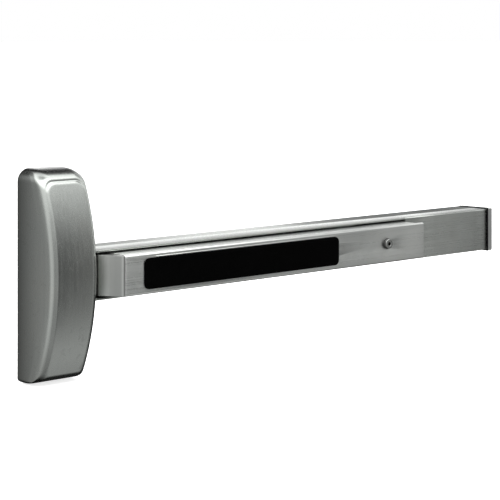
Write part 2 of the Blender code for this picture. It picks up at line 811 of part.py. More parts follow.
def make_lift_slide():
    pin_x, pin_z = LEVER_LIFT_PIN
    slot_start = (LEVER_PIVOT[0] - ARM_LIFT - SLOT_END_PLAY, pin_z)
    slot_end = (pin_x + SLOT_END_PLAY, pin_z)
    slide = cut(
        box((-16, -3), FLAT_LINK_Y, (5.4, 70)),
        slot("XZ", slot_start, slot_end, SMALL_PIN_RADIUS, LINK_THROUGH),
        box((-12, -7), LINK_THROUGH, (44, 52)),
    )
    part(slide, "lift_slide", ZINC)


def make_lift_guides():
    for label, z in (("lower", 36.0), ("upper", 61.0)):
        guide = box((-19.4, 0.4), (-11.9, -3.3), around(3, z))
        guide = cut(guide, box((-16.5, -2.5), (-9.8, 0), around(5, z)))
        part(guide, f"lift_guide_{label}", ZINC)


# ---------------------------------------------------------------- springs, stops


def make_coil(name, axis, at, low, high, radius, wire, turns, per_turn, detail):
    """A compression spring as a swept wire; at holds the other two coordinates."""
    curve = bpy.data.curves.new(name, "CURVE")
    curve.dimensions = "3D"
    curve.bevel_depth = wire * MM
    curve.bevel_resolution = detail
    curve.use_fill_caps = True
    spline = curve.splines.new("POLY")
    steps = turns * per_turn
    spline.points.add(steps)
    start, end = low + wire + 0.05, high - wire - 0.05
    for i in range(steps + 1):
        share = i / steps
        # the end coils lie closer together than the working ones
        eased = share - 0.06 * math.sin(2 * math.pi * share)
        place = list(polar(at, radius, 2 * math.pi * turns * share))
        place.insert("XYZ".index(axis), start + (end - start) * eased)
        spline.points[i].co = (*(Vector(place) * MM), 1.0)
    ob = scene_object(name, curve)
    bpy.context.view_layer.update()
    part(bake_curve(ob), name, SPRING_STEEL)


def make_return_springs():
    guide = [
        (0, -2.3), (6.2, -2.3), (6.2, -3.8), (2.6, -3.8), (2.6, -37.0), (1.8, -38.0), (0, -38.0),
    ]
    for label, at in (("left", (80.0, 9.5)), ("right", (332.0, -9.5))):
        part(turned("Y", guide, at, 16), f"spring_guide_{label}", ZINC)
        make_coil(
            f"return_spring_{label}", "Y", at, low=-64.8, high=-4.1,
            radius=4.7, wire=0.65, turns=8, per_turn=9, detail=1,
        )


def make_lift_spring():
    make_coil(
        "lift_spring", "Z", (-9.5, -8.0), low=70.4, high=92.1,
        radius=2.2, wire=0.4, turns=6, per_turn=8, detail=0,
    )


def make_bar_stops():
    """Rubber channels with thick flanges."""
    half_height = 20.5
    for label, middle in (("left", 146.0), ("right", 306.0)):
        x = around(6, middle)
        stop = join(
            box(x, PLATE_Y, around(half_height)),
            *[box(x, (-17.6, PLATE_BACK), z) for z in mirrored(16.0, half_height)],
        )
        part(stop, f"bar_stop_{label}", RUBBER)


# ---------------------------------------------------------------- joint axes


def on_axis(name, at, pieces):
    """Parents pieces to an empty on their joint's axis, without moving them."""
    empty = bpy.data.objects.new(name, None)
    empty.location = Vector(at) * MM
    PARTS.objects.link(empty)
    bpy.context.view_layer.update()
    for piece in pieces:
        ob = bpy.data.objects[piece]
        ob.parent = empty
        ob.matrix_parent_inverse = empty.matrix_world.inverted()


def add_joint_axes():
    on_axis(
        "axis_push_bar", (250.0, -60.0, 0.0),
        ["push_bar", "push_bar_end", "push_pad", "bar_lug_left", "bar_lug_right",
         "dogging_rosette"],
    )
    on_axis(
        "axis_dogging", (DOGGING_X, -60.0, DOGGING_Z),
        ["dogging_barrel", "dogging_clip", "dogging_hook"],
    )
    for label, x in CRANKS:
        on_axis(
            f"axis_bell_crank_{label}", (x, CRANK_Y, 0.0),
            [f"bell_crank_{label}", f"bar_pin_{label}", f"link_pin_{label}"],
        )
    on_axis(
        "axis_link", (200.0, -10.0, 0.0),
        ["link_rod", "link_connector", "link_connector_rivet"],
    )
    on_axis(
        "axis_transfer_lever", (LEVER_PIVOT[0], -12.0, LEVER_PIVOT[1]),
        ["transfer_lever", "lever_link_pin", "lever_lift_pin"],
    )
    on_axis("axis_lift_slide", (-9.5, -8.0, 40.0), ["lift_slide"])


make_cover()
make_base()
make_cover_screws()

make_rail()
for side, rivet_at in zip(("lower", "upper"), TONGUE_RIVETS):
    make_rivet(f"rail_rivet_{side}", rivet_at, THICK_PLATE_FRONT)
make_filler()
make_end_bracket()
make_rivet("end_bracket_rivet", BRACKET_RIVET, THICK_PLATE_FRONT)
make_gasket()
make_end_cap()
make_end_cap_screws()

make_push_bar()
make_push_bar_end()
make_push_pad()
make_dogging_rosette()
make_dogging_barrel()
make_dogging_hook()
make_dogging_keeper()
make_rivet("dogging_keeper_rivet", KEEPER_RIVET, PLATE_FRONT)

for crank_label, crank_x in CRANKS:
    make_crank_bracket(crank_label, crank_x)
    make_bell_crank(crank_label, crank_x)
    make_bar_lug(crank_label, crank_x)
make_link_rod()
make_link_connector()
make_lever_post()
make_transfer_lever()
make_lift_slide()
make_lift_guides()

make_return_springs()
make_lift_spring()
make_bar_stops()

add_joint_axes()
for piece in PARTS.objects:
    if piece.type == "MESH":
        piece.data.shade_smooth()
        piece.data.set_sharp_from_angle(angle=math.radians(32))
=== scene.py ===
"""Looks of a touch-bar exit device: chassis cover, push bar, mounting rail and end cap.

The device lies level along X: the chassis is at the -X end and the end cap at the +X end.
+Y points into the door, so the front faces -Y, and +Z is up. The door plane is y = 0.
Mesh helpers and dimensions are in millimetres. Materials, lights and the camera are in metres.
"""

import math

import bmesh
import bpy
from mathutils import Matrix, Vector


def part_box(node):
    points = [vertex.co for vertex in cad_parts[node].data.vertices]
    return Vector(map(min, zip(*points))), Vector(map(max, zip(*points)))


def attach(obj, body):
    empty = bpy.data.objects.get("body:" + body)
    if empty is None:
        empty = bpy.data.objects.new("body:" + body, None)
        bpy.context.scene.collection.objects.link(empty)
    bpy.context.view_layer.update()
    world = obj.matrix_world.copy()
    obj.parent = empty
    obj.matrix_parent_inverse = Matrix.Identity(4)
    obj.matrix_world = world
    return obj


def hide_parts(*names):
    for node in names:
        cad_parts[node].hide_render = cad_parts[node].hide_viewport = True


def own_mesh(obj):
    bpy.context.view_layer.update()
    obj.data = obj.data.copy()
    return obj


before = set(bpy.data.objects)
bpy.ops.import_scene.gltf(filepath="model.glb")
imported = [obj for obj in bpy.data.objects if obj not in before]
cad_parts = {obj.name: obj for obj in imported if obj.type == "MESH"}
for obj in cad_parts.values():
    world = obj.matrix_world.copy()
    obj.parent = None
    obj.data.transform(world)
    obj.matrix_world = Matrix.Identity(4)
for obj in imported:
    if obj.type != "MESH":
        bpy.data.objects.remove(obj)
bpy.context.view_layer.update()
MM = 0.001
SCENE = bpy.context.scene


def span(node):
    """A CAD node's low and high corners in millimetres."""
    low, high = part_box(node)
    return low / MM, high / MM


# ---------------------------------------------------------------- node helpers


class Graph:
    """A short way to write a node tree. Most methods return an output socket."""

    def __init__(self, tree):
        self.tree = tree
        tree.nodes.clear()

    def add(self, kind, inputs=None, **settings):
        """A new node, with its settings and then its inputs, keyed by name or index."""
        node = self.tree.nodes.new(kind)
        for key, value in settings.items():
            setattr(node, key, value)
        self.set(node, inputs or {})
        return node

    def set(self, node, inputs):
        for key, value in inputs.items():
            self.feed(node.inputs[key], value)

    def feed(self, socket, value):
        if isinstance(value, bpy.types.NodeSocket):
            self.tree.links.new(value, socket)
        elif isinstance(value, tuple) and socket.type == "RGBA" and len(value) == 3:
            socket.default_value = (*value, 1.0)
        else:
            socket.default_value = value

    def place(self):
        return self.add("ShaderNodeTexCoord").outputs["Object"]

    def split(self, vector):
        return self.add("ShaderNodeSeparateXYZ", {0: vector}).outputs

    def math(self, operation, a, b=0.0, c=0.0, clamp=False):
        inputs = {0: a, 1: b, 2: c}
        return self.add("ShaderNodeMath", inputs, operation=operation, use_clamp=clamp).outputs[0]

    def times(self, a, b):
        return self.math("MULTIPLY", a, b)

    def offset(self, base, value, amount, clamp=False):
        """base + value * amount"""
        return self.math("MULTIPLY_ADD", value, amount, base, clamp)

    def vary(self, base, noise, amount, clamp=False):
        """base, moved up and down by a noise that is centred on 0.5"""
        return self.offset(base, self.math("SUBTRACT", noise, 0.5), amount, clamp)

    def vector(self, operation, a, b=(0.0, 0.0, 0.0)):
        node = self.add("ShaderNodeVectorMath", {0: a, 1: b}, operation=operation)
        return node.outputs["Vector"]

    def noise(self, vector, scale, detail=3.0, roughness=0.55, distortion=0.0):
        inputs = {
            "Vector": vector, "Scale": scale, "Detail": detail,
            "Roughness": roughness, "Distortion": distortion,
        }
        return self.add("ShaderNodeTexNoise", inputs).outputs["Fac"]

    def stretched(self, vector, scales, detail, roughness):
        """Noise with its own scale on each axis."""
        mapped = self.add("ShaderNodeMapping", {"Vector": vector, "Scale": scales}).outputs[0]
        return self.noise(mapped, 1.0, detail, roughness)

    def ramp(self, factor, stops):
        """A colour ramp through (position, grey or colour) stops."""
        node = self.add("ShaderNodeValToRGB", {"Fac": factor})
        points = node.color_ramp.elements
        while len(points) < len(stops):
            points.new(0.5)
        for point, (position, value) in zip(points, stops):
            point.position = position
            point.color = (*(value if isinstance(value, tuple) else (value,) * 3), 1.0)
        return node.outputs["Color"]

    def range(self, value, start, stop, to_start=0.0, to_stop=1.0, smooth=False):
        inputs = {
            "Value": value, "From Min": start, "From Max": stop,
            "To Min": to_start, "To Max": to_stop,
        }
        curve = "SMOOTHSTEP" if smooth else "LINEAR"
        return self.add("ShaderNodeMapRange", inputs, interpolation_type=curve).outputs["Result"]

    def mix(self, factor, a, b, blend="MIX"):
        inputs = {"Factor": factor, 6: a, 7: b}
        return self.add("ShaderNodeMix", inputs, data_type="RGBA", blend_type=blend).outputs[2]

    def shade(self, colour, factor):
        return self.mix(1.0, colour, factor, "MULTIPLY")

    def bump(self, height, strength, distance, normal=None):
        inputs = {"Height": height, "Strength": strength, "Distance": distance}
        if normal is not None:
            inputs["Normal"] = normal
        return self.add("ShaderNodeBump", inputs).outputs[0]


def new_material(name):
    made = bpy.data.materials.new(name)
    made.use_nodes = True
    g = Graph(made.node_tree)
    shader = g.add("ShaderNodeBsdfPrincipled")
    g.add("ShaderNodeOutputMaterial", {"Surface": shader.outputs[0]})
    return made, g, shader


# ---------------------------------------------------------------- materials


def shade_to_door(g, colour, place, amount):
    """Painted shade: darkens the colour of the sides towards the door."""
    depth = g.split(place)["Y"]
    nearness = g.range(depth, start=-0.047, stop=-0.002)
    falloff = g.math("POWER", nearness, 1.6)
    return g.shade(colour, g.offset(1.0, falloff, -amount))


def shade_ledge(g, colour, facing, amount):
    """Painted dark reflection: darkens the colour of faces that look up."""
    ledge = g.range(g.split(facing)["Z"], start=0.80, stop=0.96, smooth=True)
    return g.shade(colour, g.offset(1.0, ledge, -amount))


def paint_light_along(g, colour, place, stations):
    """Painted light and shade: uneven brightness along X, from (x in millimetres, strength)
    stations.
    """
    first, last = stations[0][0], stations[-1][0]
    share = g.range(g.split(place)["X"], start=first * MM, stop=last * MM)
    brightest = max(strength for _, strength in stations)
    stops = [((x - first) / (last - first), strength / brightest) for x, strength in stations]
    return g.shade(colour, g.times(g.ramp(share, stops), brightest))


# painted shade on the rail's back strip: (share of its painted length along X, amount)
BACK_PAINTED_SHADE_LENGTH = 0.6
BACK_PAINTED_SHADE = [
    (0.0, 0.50), (0.12, 0.62), (0.33, 0.33), (0.45, 0.36), (0.57, 0.72), (0.72, 0.85), (1.0, 0.84),
]


def paint_rail_shade(g, colour, place, facing):
    """Painted shade: dark strips at the back and front of the rail's level faces, in colour and
    metal share.
    """
    level_face = g.range(g.math("ABSOLUTE", g.split(facing)["Z"]), start=0.6, stop=0.9)
    spot = g.split(place)
    # the back strip's edge shifts a little along the rail
    reach = g.range(spot["X"], start=0.25, stop=0.45, to_start=0.020, to_stop=0.026)
    strip = g.range(g.math("ADD", spot["Y"], reach), start=-0.003, stop=0.003, smooth=True)
    fading = g.add(
        "ShaderNodeFloatCurve", {"Value": g.range(spot["X"], start=0.0, stop=BACK_PAINTED_SHADE_LENGTH)}
    )
    points = fading.mapping.curves[0].points
    points[0].location = BACK_PAINTED_SHADE[0]
    for share, amount in BACK_PAINTED_SHADE[1:-1]:
        points.new(share, amount)
    points[-1].location = BACK_PAINTED_SHADE[-1]
    fading.mapping.update()
    back = g.times(g.times(strip, level_face), fading.outputs[0])
    front = g.times(g.range(spot["Y"], start=-0.024, stop=-0.044, smooth=True), level_face)

    def painted_dark(front_amount):
        return g.times(g.math("SUBTRACT", 1.0, back), g.offset(1.0, front, -front_amount))

    # bare metal turns mirror-like at a grazing angle, so the painted shade also takes away metal
    # share
    return g.shade(colour, painted_dark(front_amount=0.62)), painted_dark(front_amount=0.25)


def brushed_steel(
    name, grain, dark, light, rough=0.33, anisotropy=0.5, hairline=0.03, mottle=0.4,
    door_shade=0.0, top_shade=0.0, rail_painted_shade=False, painted_light_along=None,
):
    """Satin steel: hairlines along the grain axis, streaks, tone drift, smudges, scratches, and
    optional painted light and shade.
    """
    made, g, shader = new_material(name)
    place = g.place()
    facing = g.add("ShaderNodeNewGeometry").outputs["Normal"]

    def drawn(length, across, detail, roughness):
        """Noise that is slow along the grain and fast across it."""
        scales = tuple(length if axis == grain else across for axis in "XYZ")
        return g.stretched(place, scales, detail, roughness)

    hair = drawn(length=9.0, across=2600.0, detail=4.0, roughness=0.65)
    streak = drawn(length=5.0, across=330.0, detail=3.0, roughness=0.6)
    wide = drawn(length=9.0, across=60.0, detail=3.0, roughness=0.55)
    drift = g.noise(place, scale=26.0, detail=4.0, roughness=0.6, distortion=0.6)
    smudge = g.noise(place, scale=75.0, detail=5.0, roughness=0.62, distortion=1.4)
    prints = g.range(smudge, start=0.56, stop=0.72, smooth=True)
    scratch = drawn(length=14.0, across=900.0, detail=1.0, roughness=0.4)
    scratch = g.range(scratch, start=0.74, stop=0.80)

    tone = g.vary(0.5, streak, amount=0.55)
    tone = g.vary(tone, wide, amount=0.5 * mottle)
    tone = g.vary(tone, drift, amount=0.9 * mottle)
    tone = g.vary(tone, hair, amount=0.6)
    tone = g.offset(tone, prints, amount=-0.16)
    tone = g.offset(tone, scratch, amount=0.35, clamp=True)
    colour = g.mix(tone, dark, light)
    warm_noise = g.noise(place, scale=13.0, detail=2.0)
    warmth = g.range(warm_noise, start=0.42, stop=0.62, to_stop=0.35, smooth=True)
    colour = g.mix(warmth, colour, (1.03, 1.0, 0.985), "MULTIPLY")
    # painted shade: the colour darkens towards the door
    if door_shade:
        colour = shade_to_door(g, colour, place, door_shade)
    # painted dark reflection on faces that look up
    if top_shade:
        colour = shade_ledge(g, colour, facing, top_shade)
    # painted light and shade along X
    if painted_light_along:
        colour = paint_light_along(g, colour, place, painted_light_along)

    # edges wear brighter and smoother, in patches
    worn = g.add("ShaderNodeAttribute", attribute_name="edge_wear").outputs["Fac"]
    worn = g.times(worn, g.range(drift, start=0.35, stop=0.65, to_start=0.35))
    worn_colour = tuple(min(1.0, channel * 1.22) for channel in light)
    colour = g.mix(g.times(worn, 0.5), colour, worn_colour)
    metallic = 1.0
    # painted shade strips on the rail's level faces
    if rail_painted_shade:
        colour, metallic = paint_rail_shade(g, colour, place, facing)
        g.set(shader, {"Specular IOR Level": 0.0})

    roughness = g.vary(rough, hair, amount=0.22)
    roughness = g.vary(roughness, streak, amount=0.16)
    roughness = g.vary(roughness, drift, amount=0.1)
    roughness = g.offset(roughness, prints, amount=0.06)
    roughness = g.offset(roughness, worn, amount=-0.07, clamp=True)

    # the highlight stretches across the grain; the small offset keeps the tangent from vanishing
    grain_axis = tuple(1.0 if axis == grain else 0.0 for axis in "XYZ")
    tangent = g.vector("CROSS_PRODUCT", facing, grain_axis)
    tangent = g.vector("ADD", tangent, (0.004, 0.0004, 0.0004))

    # relief: hairlines and streaks stand up equally, scratches cut in
    height = g.math("ADD", g.times(hair, 0.6), g.times(streak, 0.6))
    height = g.math("SUBTRACT", height, g.times(scratch, 0.5))
    normal = g.bump(height, strength=hairline, distance=0.0002)
    normal = g.bump(drift, strength=0.02, distance=0.002, normal=normal)
    g.set(shader, {
        "Base Color": colour, "Metallic": metallic, "Roughness": roughness,
        "Anisotropic": anisotropy, "Tangent": g.vector("NORMALIZE", tangent), "Normal": normal,
    })
    return made


def plated_steel(name, dark, light, rough, spangle, grainy):
    """Zinc plate, turned steel or bare casting: crystal patches, fine grain and dull spots."""
    made, g, shader = new_material(name)
    place = g.place()
    warp = g.add("ShaderNodeTexNoise", {"Vector": place, "Scale": 300.0}).outputs["Color"]
    warp_reach = (0.002,) * 3
    warped = g.vector("ADD", place, g.vector("MULTIPLY", warp, warp_reach))
    cells = g.add("ShaderNodeTexVoronoi", {"Vector": warped, "Scale": spangle}, feature="F1")
    crystal = g.add("ShaderNodeSeparateColor", {0: cells.outputs["Color"]}).outputs
    fine = g.noise(place, scale=2400.0, detail=4.0, roughness=0.7)
    drift = g.noise(place, scale=60.0, detail=4.0, roughness=0.6, distortion=0.8)
    spots = g.noise(place, scale=260.0, detail=3.0, roughness=0.6)
    spots = g.range(spots, start=0.62, stop=0.74, smooth=True)
    tone = g.vary(0.5, crystal[0], amount=0.45)
    tone = g.vary(tone, drift, amount=1.0)
    tone = g.vary(tone, fine, amount=0.5)
    tone = g.offset(tone, spots, amount=-0.25, clamp=True)
    roughness = g.vary(rough, crystal[1], amount=0.16)
    roughness = g.vary(roughness, fine, amount=0.2)
    roughness = g.offset(roughness, spots, amount=0.14, clamp=True)
    normal = g.bump(fine, strength=grainy, distance=0.0003)
    normal = g.bump(drift, strength=0.08, distance=0.0015, normal=normal)
    g.set(shader, {
        "Base Color": g.mix(tone, dark, light), "Metallic": 1.0,
        "Roughness": roughness, "Normal": normal,
    })
    return made


def wire_steel(name):
    """Oil-tempered spring wire: drawn, dark, with a straw bloom."""
    made, g, shader = new_material(name)
    place = g.place()
    fine = g.noise(place, scale=1500.0, detail=4.0, roughness=0.7)
    bloom = g.noise(place, scale=160.0, detail=3.0, roughness=0.6, distortion=0.8)
    tone = g.vary(bloom, fine, amount=0.7, clamp=True)
    dark_to_straw = [
        (0.25, (0.11, 0.11, 0.12)), (0.55, (0.24, 0.235, 0.225)), (0.8, (0.38, 0.35, 0.31)),
    ]
    g.set(shader, {
        "Base Color": g.ramp(tone, dark_to_straw), "Metallic": 1.0,
        "Roughness": g.offset(0.16, fine, amount=0.25),
        "Normal": g.bump(fine, strength=0.12, distance=0.0002),
    })
    return made


def black_rubber(name, dark, light, rough, specular, pebble, depth, dust):
    """Moulded black rubber: pebbled grain, uneven gloss, dust held in the grain."""
    made, g, shader = new_material(name)
    place = g.place()
    cells = {"Vector": place, "Scale": pebble, "Smoothness": 0.5}
    grain = g.add("ShaderNodeTexVoronoi", cells, feature="SMOOTH_F1").outputs["Distance"]
    fine = g.noise(place, scale=pebble * 2.4, detail=4.0, roughness=0.7)
    drift = g.noise(place, scale=45.0, detail=4.0, roughness=0.6, distortion=0.9)
    scuff = g.stretched(place, scales=(30.0, 200.0, 260.0), detail=4.0, roughness=0.7)
    scuff = g.range(scuff, start=0.60, stop=0.78, smooth=True)
    tone = g.vary(g.times(drift, 0.6), fine, amount=0.5)
    tone = g.offset(tone, g.range(grain, start=0.25, stop=0.6), amount=dust)
    tone = g.offset(tone, scuff, amount=0.45, clamp=True)
    roughness = g.vary(rough, drift, amount=0.3)
    roughness = g.offset(roughness, scuff, amount=0.1, clamp=True)
    height = g.offset(g.times(grain, -1.0), fine, amount=0.35)
    g.set(shader, {
        "Base Color": g.mix(tone, dark, light), "Roughness": roughness,
        "Specular IOR Level": specular,
        "Normal": g.bump(height, strength=0.55, distance=depth),
    })
    return made


# painted light and shade along X, in stations: (x in millimetres, strength)
BAR_PAINTED_LIGHT = [
    (50, 2.0), (51.3, 1.9), (52.6, 1.5), (75, 1.45), (140, 1.1),
    (300, 0.88), (360, 0.78), (400, 0.92), (420, 1.0), (471, 1.0),
]
RAIL_PAINTED_LIGHT = [
    (20, 1.0), (458, 1.0), (480, 1.5), (494, 1.85), (499, 1.72), (505, 1.5), (514, 1.12),
    (530, 0.93), (548, 0.89), (565, 0.87), (583, 1.0), (592, 1.32), (600, 1.42), (606, 1.4),
]
# below 34 mm the folded end's tongue is painted dark as shadow inside the cover
SLANT_PAINTED_LIGHT = [
    (22, 0.15), (33.8, 0.15), (34.2, 2.8), (36.5, 2.6), (38.5, 1.85),
    (41, 1.25), (44, 1.06), (47.0, 1.04), (48.0, 1.5), (51, 1.9),
]

# the cover's colour carries painted shade towards the door and a painted dark reflection on its
# upward faces
COVER_STEEL = brushed_steel(
    "satin_cover", "Z", dark=(0.335, 0.352, 0.335), light=(0.43, 0.45, 0.43), rough=0.25,
    anisotropy=0.30, hairline=0.035, mottle=0.55, door_shade=0.66, top_shade=0.80,
)
BAR_STEEL = brushed_steel(
    "satin_bar", "X", dark=(0.52, 0.54, 0.52), light=(0.61, 0.63, 0.61),
    anisotropy=0.75, painted_light_along=BAR_PAINTED_LIGHT,
)
RAIL_STEEL = brushed_steel(
    "satin_rail", "X", dark=(0.375, 0.395, 0.375), light=(0.44, 0.46, 0.44),
    anisotropy=0.7, hairline=0.02, rail_painted_shade=True, painted_light_along=RAIL_PAINTED_LIGHT,
)
KEY_STEEL = brushed_steel(
    "satin_key", "X", dark=(0.27, 0.28, 0.27), light=(0.33, 0.34, 0.33),
    rough=0.36, anisotropy=0.3,
)
# a near-black copy of the key steel, painted shade for the collar's side
KEY_PAINTED_SHADE = brushed_steel(
    "key_painted_shade", "X", dark=(0.07, 0.07, 0.07), light=(0.12, 0.12, 0.12),
    rough=0.4, anisotropy=0.2,
)
CAP_STEEL = brushed_steel(
    "satin_cap", "Z", dark=(0.50, 0.51, 0.50), light=(0.58, 0.59, 0.58),
    hairline=0.04, mottle=0.5,
)
# the folded end is the bar's own steel; this darker copy is painted shade, and its stations paint
# light and shade along X
SLANT_SHADED_STEEL = brushed_steel(
    "satin_slant_painted_shade", "Z", dark=(0.255, 0.265, 0.255), light=(0.31, 0.32, 0.31), rough=0.36,
    anisotropy=0.4, hairline=0.04, mottle=0.5, painted_light_along=SLANT_PAINTED_LIGHT,
)
TURNED_STEEL = plated_steel(
    "turned_steel", dark=(0.42, 0.435, 0.42), light=(0.60, 0.615, 0.60),
    rough=0.24, spangle=900.0, grainy=0.04,
)
ZINC = plated_steel(
    "zinc_plate", dark=(0.42, 0.43, 0.44), light=(0.66, 0.67, 0.67),
    rough=0.36, spangle=420.0, grainy=0.08,
)
CAST = plated_steel(
    "cast_zinc", dark=(0.20, 0.205, 0.205), light=(0.36, 0.365, 0.36),
    rough=0.5, spangle=700.0, grainy=0.4,
)
WIRE = wire_steel("spring_wire")
PAD_RUBBER = black_rubber(
    "pad_rubber", dark=(0.0002, 0.0002, 0.0002), light=(0.0012, 0.0012, 0.0012),
    rough=0.6, specular=0.006, pebble=1150.0, depth=0.00022, dust=0.35,
)
# black rubber of the cap's seal, also used as painted shade inside the key's socket
BLACK_SEAL_AND_SOCKET_SHADE = black_rubber(
    "black_seal_and_socket_shade", dark=(0.0015, 0.0015, 0.0015), light=(0.006, 0.006, 0.006),
    rough=0.5, specular=0.06, pebble=1800.0, depth=0.0001, dust=0.2,
)
BUMPER = black_rubber(
    "bumper_rubber", dark=(0.008, 0.008, 0.009), light=(0.03, 0.03, 0.03),
    rough=0.72, specular=0.3, pebble=1400.0, depth=0.0002, dust=0.5,
)


# ---------------------------------------------------------------- mesh helpers

# (u, v, w) to (x, y, z), where w runs along the named axis and u, v keep XYZ order
PLACE = {
    "X": lambda u, v, w: (w, u, v),
    "Y": lambda u, v, w: (u, w, v),
    "Z": lambda u, v, w: (u, v, w),
}


def from_bmesh(name, body):
    mesh = bpy.data.meshes.new(name)
    body.to_mesh(mesh)
    body.free()
    ob = bpy.data.objects.new(name, mesh)
    SCENE.collection.objects.link(ob)
    return ob


def bake(ob):
    """Applies an object's modifiers."""
    graph = bpy.context.evaluated_depsgraph_get()
    made = bpy.data.meshes.new_from_object(ob.evaluated_get(graph))
    ob.modifiers.clear()
    old = ob.data
    ob.data = made
    bpy.data.meshes.remove(old)


def arc(centre_u, centre_v, radius, start, end, steps):
    """Points on an arc between two angles in degrees."""
    out = []
    for i in range(steps + 1):
        turn = math.radians(start + (end - start) * i / steps)
        out.append((centre_u + radius * math.cos(turn), centre_v + radius * math.sin(turn)))
    return out


def filleted(points, steps=6):
    """A closed outline from (u, v, radius) corners, each rounded by its radius."""
    out = []
    count = len(points)
    for i in range(count):
        here = Vector(points[i][:2])
        before = (Vector(points[i - 1][:2]) - here).normalized()
        after = (Vector(points[(i + 1) % count][:2]) - here).normalized()
        radius = points[i][2]
        if radius <= 0:
            out.append(tuple(here))
            continue
        angle = before.angle(after)
        reach = radius / math.tan(angle / 2)
        centre = here + (before + after).normalized() * (radius / math.sin(angle / 2))
        first = here + before * reach - centre
        last = here + after * reach - centre
        turn = math.atan2(first.x * last.y - first.y * last.x, first.dot(last))
        for k in range(steps + 1):
            cos, sin = math.cos(turn * k / steps), math.sin(turn * k / steps)
            out.append(
                (centre.x + first.x * cos - first.y * sin, centre.y + first.x * sin + first.y * cos)
            )
    return out


def loft(name, loops):
    """A skin over closed loops of (x, y, z) points, capped at both ends."""
    body = bmesh.new()
    rings = [[body.verts.new(Vector(point) * MM) for point in loop] for loop in loops]
    for a, b in zip(rings, rings[1:]):
        for i in range(len(a)):
            j = (i + 1) % len(a)
            body.faces.new((a[i], a[j], b[j], b[i]))
    body.faces.new(rings[0][::-1])
    body.faces.new(rings[-1])
    bmesh.ops.recalc_face_normals(body, faces=body.faces)
    return from_bmesh(name, body)


def prism(name, axis, outline, ends):
    """An outline swept along an axis between two ends."""
    return loft(name, [[PLACE[axis](u, v, w) for u, v in outline] for w in ends])


def box(x, y, z):
    return prism("box", "X", [(y[0], z[0]), (y[1], z[0]), (y[1], z[1]), (y[0], z[1])], x)


def rod(axis, ends, at, radius, sides=48):
    return prism("rod", axis, arc(*at, radius, 0, 360 * (1 - 1 / sides), sides - 1), ends)


def turned(name, axis, profile, at, steps):
    """A turned piece from (radius, place on the axis) points, centred on the other two axes."""
    body = bmesh.new()
    rings = []
    for radius, height in profile:
        if radius == 0:
            rings.append([body.verts.new(Vector(PLACE[axis](*at, height)) * MM)])
            continue
        ring = []
        for i in range(steps):
            turn = 2 * math.pi * i / steps
            u = at[0] + radius * math.cos(turn)
            v = at[1] + radius * math.sin(turn)
            ring.append(body.verts.new(Vector(PLACE[axis](u, v, height)) * MM))
        rings.append(ring)
    pairs = list(zip(rings, rings[1:]))
    if len(rings[0]) > 1 and len(rings[-1]) > 1:
        pairs.append((rings[-1], rings[0]))
    for a, b in pairs:
        for i in range(steps):
            j = (i + 1) % steps
            if len(a) == 1:
                body.faces.new((a[0], b[i], b[j]))
            elif len(b) == 1:
                body.faces.new((a[i], b[0], a[j]))
            else:
                body.faces.new((a[i], b[i], b[j], a[j]))
    bmesh.ops.recalc_face_normals(body, faces=body.faces)
    return from_bmesh(name, body)


def boolean(ob, operation, others):
    for other in others:
        step = ob.modifiers.new("step", "BOOLEAN")
        step.operation = operation
        step.object = other
        bake(ob)
        bpy.data.objects.remove(other, do_unlink=True)


def cut(ob, *others):
    boolean(ob, "DIFFERENCE", others)


def join(ob, *others):
    boolean(ob, "UNION", others)


def soften(ob, width, segments, angle=32.0):
    """Small rounded edges, as a press or a linisher leaves them."""
    step = ob.modifiers.new("edges", "BEVEL")
    step.width = width * MM
    step.segments = segments
    step.limit_method = "ANGLE"
    step.angle_limit = math.radians(angle)
    step.miter_outer = "MITER_ARC"
    bake(ob)


def mark_edges(ob):
    """Stores how sharply the surface turns at each point, for wear along the edges."""
    full_wear = math.radians(30.0)
    mesh = ob.data
    body = bmesh.new()
    body.from_mesh(mesh)
    values = []
    for vert in body.verts:
        turn = 0.0
        for edge in vert.link_edges:
            if len(edge.link_faces) == 2 and edge.is_convex:
                turn = max(turn, edge.calc_face_angle(0.0))
        values.append(min(1.0, turn / full_wear))
    body.free()
    layer = mesh.attributes.new("edge_wear", "FLOAT", "POINT")
    layer.data.foreach_set("value", values)


def finish_piece(ob, material, body, node, sharp=35.0, wear=True):
    """Material, shading, the body it rides on and the CAD node it stands for."""
    ob.data.materials.clear()
    ob.data.materials.append(material)
    ob.data.shade_smooth()
    ob.data.set_sharp_from_angle(angle=math.radians(sharp))
    if wear:
        mark_edges(ob)
    ob.data.name = ob.name
    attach(ob, body)
    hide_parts(node)


def repaint(ob, material, chosen):
    """A second material on the faces whose centre, in millimetres, is chosen."""
    ob.data.materials.append(material)
    for polygon in ob.data.polygons:
        if chosen(polygon.center / MM):
            polygon.material_index = 1


# ---------------------------------------------------------------- chassis cover

COVER_LOW, COVER_HIGH = span("chassis_cover")
HALF_WIDTH = (COVER_HIGH.x - COVER_LOW.x) / 2
TOP, BOTTOM = COVER_HIGH.z, COVER_LOW.z
DEPTH = -COVER_LOW.y
FRONT_RADIUS, FRONT_MIDDLE_Z = 216.0, 2.5  # the front bows out around this height
OPEN_DEPTH, OPEN_Z = 46.2, 24.9  # opening in the +X wall, for rail and bar
WALL_ROWS = 9
BOW, BOW_DEPTH = 0.9, 47.7  # inward lean of the side walls, and the depth that reaches it
EDGE = 10.0  # width of the rolled edge
CORNER_STEPS = 14
BELOW_ROWS, OPEN_ROWS, ABOVE_ROWS = 26, 16, 22
COVER_SCREW_Y = -11.0
COVER_SCREWS = {"upper": 72.0, "lower": -68.0}  # heights

